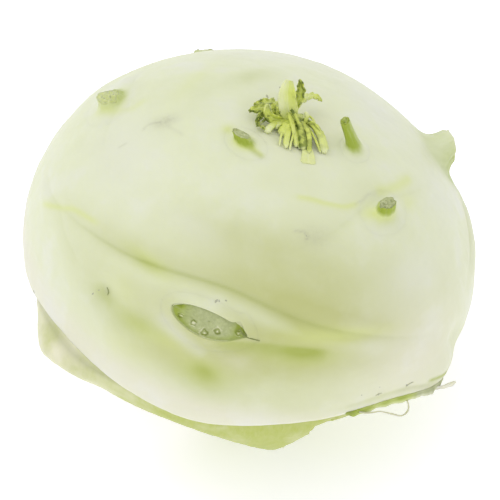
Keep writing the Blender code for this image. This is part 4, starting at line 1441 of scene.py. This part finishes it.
def lip_places(azimuth, drop, out):
    """Places below and outside the lip's edge, by azimuth."""
    azimuth = np.asarray(azimuth, float)
    points = skin_places(directions(azimuth, lip_elevation(azimuth)) @ TILT)
    outward = (points - MIDDLE) * (1, 1, 0)
    points = points + unit(outward) * np.asarray(out)[..., None]
    points[..., 2] -= drop
    return points


def make_strip():
    """The ragged edge of rind that hangs out under the lip on the right."""
    azimuth = np.linspace(STRIP_FROM, STRIP_TO, STRIP_COLUMNS)
    run = np.linspace(0, 1, STRIP_COLUMNS)
    ends = ease(run / 0.08) * ease((1 - run) / 0.05)
    torn = ripple(stacked(azimuth, 0.0, 0.0), 5.0, 71)
    torn += 0.7 * ripple(stacked(azimuth, 0.0, 0.0), 1.7, 72) * ease((run - 0.5) / 0.2)
    depth = (STRIP_DEPTH + 0.3 * torn) * ends + 0.15
    points = []
    for t in np.arange(STRIP_ROWS) / (STRIP_ROWS - 1):
        drop = -STRIP_BEHIND + (depth + STRIP_BEHIND) * t
        curl = 0.25 + 0.5 * t - 0.7 * t**2
        points.append(lip_places(azimuth, drop, curl - STRIP_BEHIND * (t < 0.05) + 0.12 * torn * t))
    t = np.repeat(np.arange(STRIP_ROWS) / (STRIP_ROWS - 1), STRIP_COLUMNS)
    along = np.tile(run, STRIP_ROWS)
    dry = ease((along - 0.6) / 0.12)
    uneven = 0.7 + 0.3 * np.tile(torn, STRIP_ROWS)
    stub = 0.85 * bell((t - 0.3) / 0.3) * uneven + 0.9 * bell((along - 0.05) / 0.07) + 0.3
    masks = {
        "fresh": (0.95 - 0.6 * ease((t - 0.5) / 0.4)) * (1 - 0.7 * dry),
        "stub": stub * (1 - 0.75 * dry),
        "tan": 0.65 * dry * uneven,
        "dark": 0.3 * bell((t - 0.35) / 0.3) * (0.4 + dry) + 0.35 * bell((along - 0.03) / 0.03),
        "bloom": 0.3 * ease((t - 0.6) / 0.3),
    }
    faces = sheet_faces(STRIP_ROWS, STRIP_COLUMNS, turned=True)
    piece = new_piece("rind_strip", np.concatenate(points), faces, skin_material(), masks)
    thicken(piece, STRIP_THICKNESS * MM)
    finish_piece(piece, "globe")


def make_thread(name, points, radii, columns, values, material):
    """A thin round thread along a run of points, with the same mask values all over."""
    travel = unit(np.gradient(points, axis=0))
    rings = tube(points, travel, radii, columns, lambda around, run: np.ones_like(around))
    thread, faces = closed_tube(rings, columns, points)
    masks = {mask: np.full(len(thread), value) for mask, value in values.items()}
    piece = new_piece(name, thread, faces, material, masks)
    finish_piece(piece, "globe")


def make_fibre():
    """A thin fibre of rind that loops out from the strip and back to it."""
    points = lip_places(*smooth_run(FIBRE, FIBRE_STEPS).T)
    radii = FIBRE_RADIUS + 0.04 * np.sin(np.linspace(0, 19, FIBRE_STEPS))
    values = {"dark": 0.3, "pale": 0.9}
    make_thread("rind_fibre", points, radii, FIBRE_COLUMNS, values, bpy.data.materials["cut_rind"])


def make_rag():
    """A pale torn flake of rind that stands out at the strip's right end."""
    azimuth, drop, reach = np.repeat(smooth_run(RAG, RAG_ROWS), RAG_CROSS, axis=0).T
    side = np.tile(np.linspace(-1, 1, RAG_CROSS), RAG_ROWS)
    t = np.repeat(np.linspace(0, 1, RAG_ROWS), RAG_CROSS)
    torn = ripple(stacked(t * 5, side, 0.0), 1.6, 81)
    half = RAG_WIDTH * (1 - 0.6 * ease((t - 0.75) / 0.25)) * (1 + 0.25 * torn * np.abs(side))
    points = lip_places(azimuth, drop + side * half, reach + 0.15 * torn)
    masks = {"cream": 0.8 - 0.3 * t, "tan": 0.35 * bell((t - 0.1) / 0.15)}
    piece = new_piece("rind_rag", points, sheet_faces(RAG_ROWS, RAG_CROSS), skin_material(), masks)
    thicken(piece, RAG_THICKNESS * MM)
    finish_piece(piece, "globe")


def make_threads():
    """The dark tail of the front scar and a few dark scratches."""
    swell = 0.25 + 0.75 * np.sin(math.pi * np.linspace(0.12, 0.98, THREAD_STEPS)) ** 0.8
    for index, (radius, darkness, marks) in enumerate(THREADS):
        own = directions(*smooth_run(marks, THREAD_STEPS).T)
        points = ellipsoid_places(own, skin_relief(own) + THREAD_RISE)
        values = {"dark": darkness, "stub": darkness, "tan": 0.75 - 0.4 * darkness}
        name = f"skin_thread_{index}"
        make_thread(name, points, radius * swell, THREAD_COLUMNS, values, skin_material())


def make_specks():
    """Small dry flecks that lie on the skin."""
    draw = np.random.default_rng(5)
    flecks = list(FLECKS)
    for _ in range(MORE_FLECKS):
        flecks.append((draw.uniform(20, 150), draw.uniform(-2, 45), draw.uniform(0.15, 0.4)))
    points, faces = [], []
    columns = FLECK_COLUMNS
    around = full_turn(columns)
    for azimuth, latitude, radius in flecks:
        seat = Seat(azimuth, latitude)
        turn, stretch = draw.uniform(0, math.pi), draw.uniform(1.1, 2.2)
        first = len(points) * (2 * columns + 1)
        rings = []
        for share, height in ((1.0, 0.0), (0.7, 0.06)):
            rough = radius * share * (1 + 0.25 * draw.normal(size=columns).clip(-1, 1))
            x, y = rough * stretch * np.cos(around), rough * np.sin(around)
            turned = x * math.cos(turn) - y * math.sin(turn), x * math.sin(turn) + y * math.cos(turn)
            rings.append(seat.drape(*turned, np.full(columns, height)))
        points.append(np.concatenate([*rings, seat.drape_middle(0.07)]))
        faces += ring_faces(2, columns, first) + fan_faces(first + columns, columns, first + 2 * columns)
    points = np.concatenate(points)
    masks = {"dark": np.full(len(points), 0.18), "tan": np.full(len(points), 0.85)}
    piece = new_piece("skin_flecks", points, faces, skin_material(), masks)
    finish_piece(piece, "globe")


# Operators


class KOHLRABI_OT_skin(bpy.types.Operator):
    """Make the pale skin of the globe"""

    bl_idname = "kohlrabi.skin"
    bl_label = "Skin"

    def execute(self, context):
        make_skin()
        return {"FINISHED"}


class KOHLRABI_OT_rind(bpy.types.Operator):
    """Make the knife-cut rind under the lip"""

    bl_idname = "kohlrabi.rind"
    bl_label = "Cut rind"

    def execute(self, context):
        make_rind()
        return {"FINISHED"}


class KOHLRABI_OT_leaf_scars(bpy.types.Operator):
    """Make the scars of whole leaves"""

    bl_idname = "kohlrabi.leaf_scars"
    bl_label = "Leaf scars"

    def execute(self, context):
        for scar in LEAF_SCARS:
            make_scar(*scar)
        return {"FINISHED"}


class KOHLRABI_OT_stalk_stubs(bpy.types.Operator):
    """Make the stubs of cut leaf stalks"""

    bl_idname = "kohlrabi.stalk_stubs"
    bl_label = "Stalk stubs"

    def execute(self, context):
        for stub in STALK_STUBS:
            make_stub(*stub)
        return {"FINISHED"}


class KOHLRABI_OT_crown_tuft(bpy.types.Operator):
    """Make the tuft of young leaves and cut stalks"""

    bl_idname = "kohlrabi.crown_tuft"
    bl_label = "Crown tuft"

    def execute(self, context):
        make_tuft_core()
        for index, stalk in enumerate(STALKS):
            make_stalk(index, *stalk)
        for index, leaf in enumerate(LEAVES):
            make_leaf(index, *leaf)
        return {"FINISHED"}


class KOHLRABI_OT_torn_rind(bpy.types.Operator):
    """Make the torn strip of rind, its loose fibre and the flecks on the skin"""

    bl_idname = "kohlrabi.torn_rind"
    bl_label = "Torn rind and flecks"

    def execute(self, context):
        make_strip()
        make_fibre()
        make_rag()
        make_threads()
        make_specks()
        return {"FINISHED"}


class KOHLRABI_OT_stage(bpy.types.Operator):
    """Make the floor, the lights and the camera"""

    bl_idname = "kohlrabi.stage"
    bl_label = "Stage"

    def execute(self, context):
        make_floor()
        make_lights()
        make_camera()
        return {"FINISHED"}


# Stage


def make_floor():
    """A plain pale floor that glows, lighting the globe from below and lightening its shadow."""
    side = sizes().floor_size
    mesh = bpy.data.meshes.new("floor")
    form = bmesh.new()
    bmesh.ops.create_grid(form, x_segments=1, y_segments=1, size=side / 2)
    form.to_mesh(mesh)
    form.free()
    material, _, shader = new_material("floor", specular=0.2)
    shader.inputs["Base Color"].default_value = (*colours().floor, 1.0)
    shader.inputs["Roughness"].default_value = 0.8
    shader.inputs["Emission Color"].default_value = (*colours().floor, 1.0)
    shader.inputs["Emission Strength"].default_value = FLOOR_GLOW
    mesh.materials.append(material)
    floor = bpy.data.objects.new("floor", mesh)
    bpy.context.scene.collection.objects.link(floor)


def aim(obj, place, target):
    """Puts a lamp or the camera somewhere and turns it to a target."""
    obj.location = place
    obj.rotation_euler = (Vector(target) - Vector(place)).to_track_quat("-Z", "Y").to_euler()


def add_lamp(name, place, size, power):
    """A large soft lamp that faces the globe."""
    lamp = bpy.data.lights.new(name, "AREA")
    lamp.shape = "DISK"
    lamp.size = size
    lamp.energy = power
    obj = bpy.data.objects.new(name, lamp)
    bpy.context.scene.collection.objects.link(obj)
    aim(obj, place, MIDDLE * MM)


def make_lights():
    """Even white surroundings, and soft lamps from above and from both sides."""
    world = bpy.data.worlds.new("surroundings")
    world.use_nodes = True
    background = world.node_tree.nodes["Background"]
    background.inputs["Color"].default_value = (1.0, 1.0, 1.0, 1.0)
    background.inputs["Strength"].default_value = SURROUNDINGS
    bpy.context.scene.world = world
    for lamp in LAMPS:
        add_lamp(*lamp)
    bpy.context.scene.view_settings.view_transform = "Standard"


def make_camera():
    """Looks down at the globe from the front."""
    camera = bpy.data.cameras.new("camera")
    camera.lens = CAMERA_LENS
    camera.sensor_width = CAMERA_SENSOR
    obj = bpy.data.objects.new("camera", camera)
    bpy.context.scene.collection.objects.link(obj)
    target = Vector(MIDDLE * MM)
    aim(obj, target + CAMERA_DISTANCE * Vector(directions(-90, CAMERA_ELEVATION)), target)
    bpy.context.scene.camera = obj


class KOHLRABI_PT_panel(bpy.types.Panel):
    """The kohlrabi's pieces, in the order in which they are made"""

    bl_label = "Kohlrabi"
    bl_idname = "KOHLRABI_PT_panel"
    bl_space_type = "VIEW_3D"
    bl_region_type = "UI"
    bl_category = "Kohlrabi"

    def draw(self, context):
        for operator in OPERATORS:
            self.layout.operator(operator.bl_idname)
        for group in (context.scene.kohlrabi_sizes, context.scene.kohlrabi_colours):
            box = self.layout.box()
            for name in group.bl_rna.properties.keys():
                if name not in ("rna_type", "name"):
                    box.prop(group, name)


OPERATORS = (
    KOHLRABI_OT_skin,
    KOHLRABI_OT_rind,
    KOHLRABI_OT_leaf_scars,
    KOHLRABI_OT_stalk_stubs,
    KOHLRABI_OT_crown_tuft,
    KOHLRABI_OT_torn_rind,
    KOHLRABI_OT_stage,
)
CLASSES = (KohlrabiSizes, KohlrabiColours, *OPERATORS, KOHLRABI_PT_panel)


def register():
    for cls in CLASSES:
        bpy.utils.register_class(cls)
    bpy.types.Scene.kohlrabi_sizes = bpy.props.PointerProperty(type=KohlrabiSizes)
    bpy.types.Scene.kohlrabi_colours = bpy.props.PointerProperty(type=KohlrabiColours)


def unregister():
    del bpy.types.Scene.kohlrabi_colours
    del bpy.types.Scene.kohlrabi_sizes
    for cls in reversed(CLASSES):
        bpy.utils.unregister_class(cls)


def main():
    register()
    for operator in OPERATORS:
        group, name = operator.bl_idname.split(".")
        getattr(getattr(bpy.ops, group), name)()


if __name__ == "__main__":
    main()
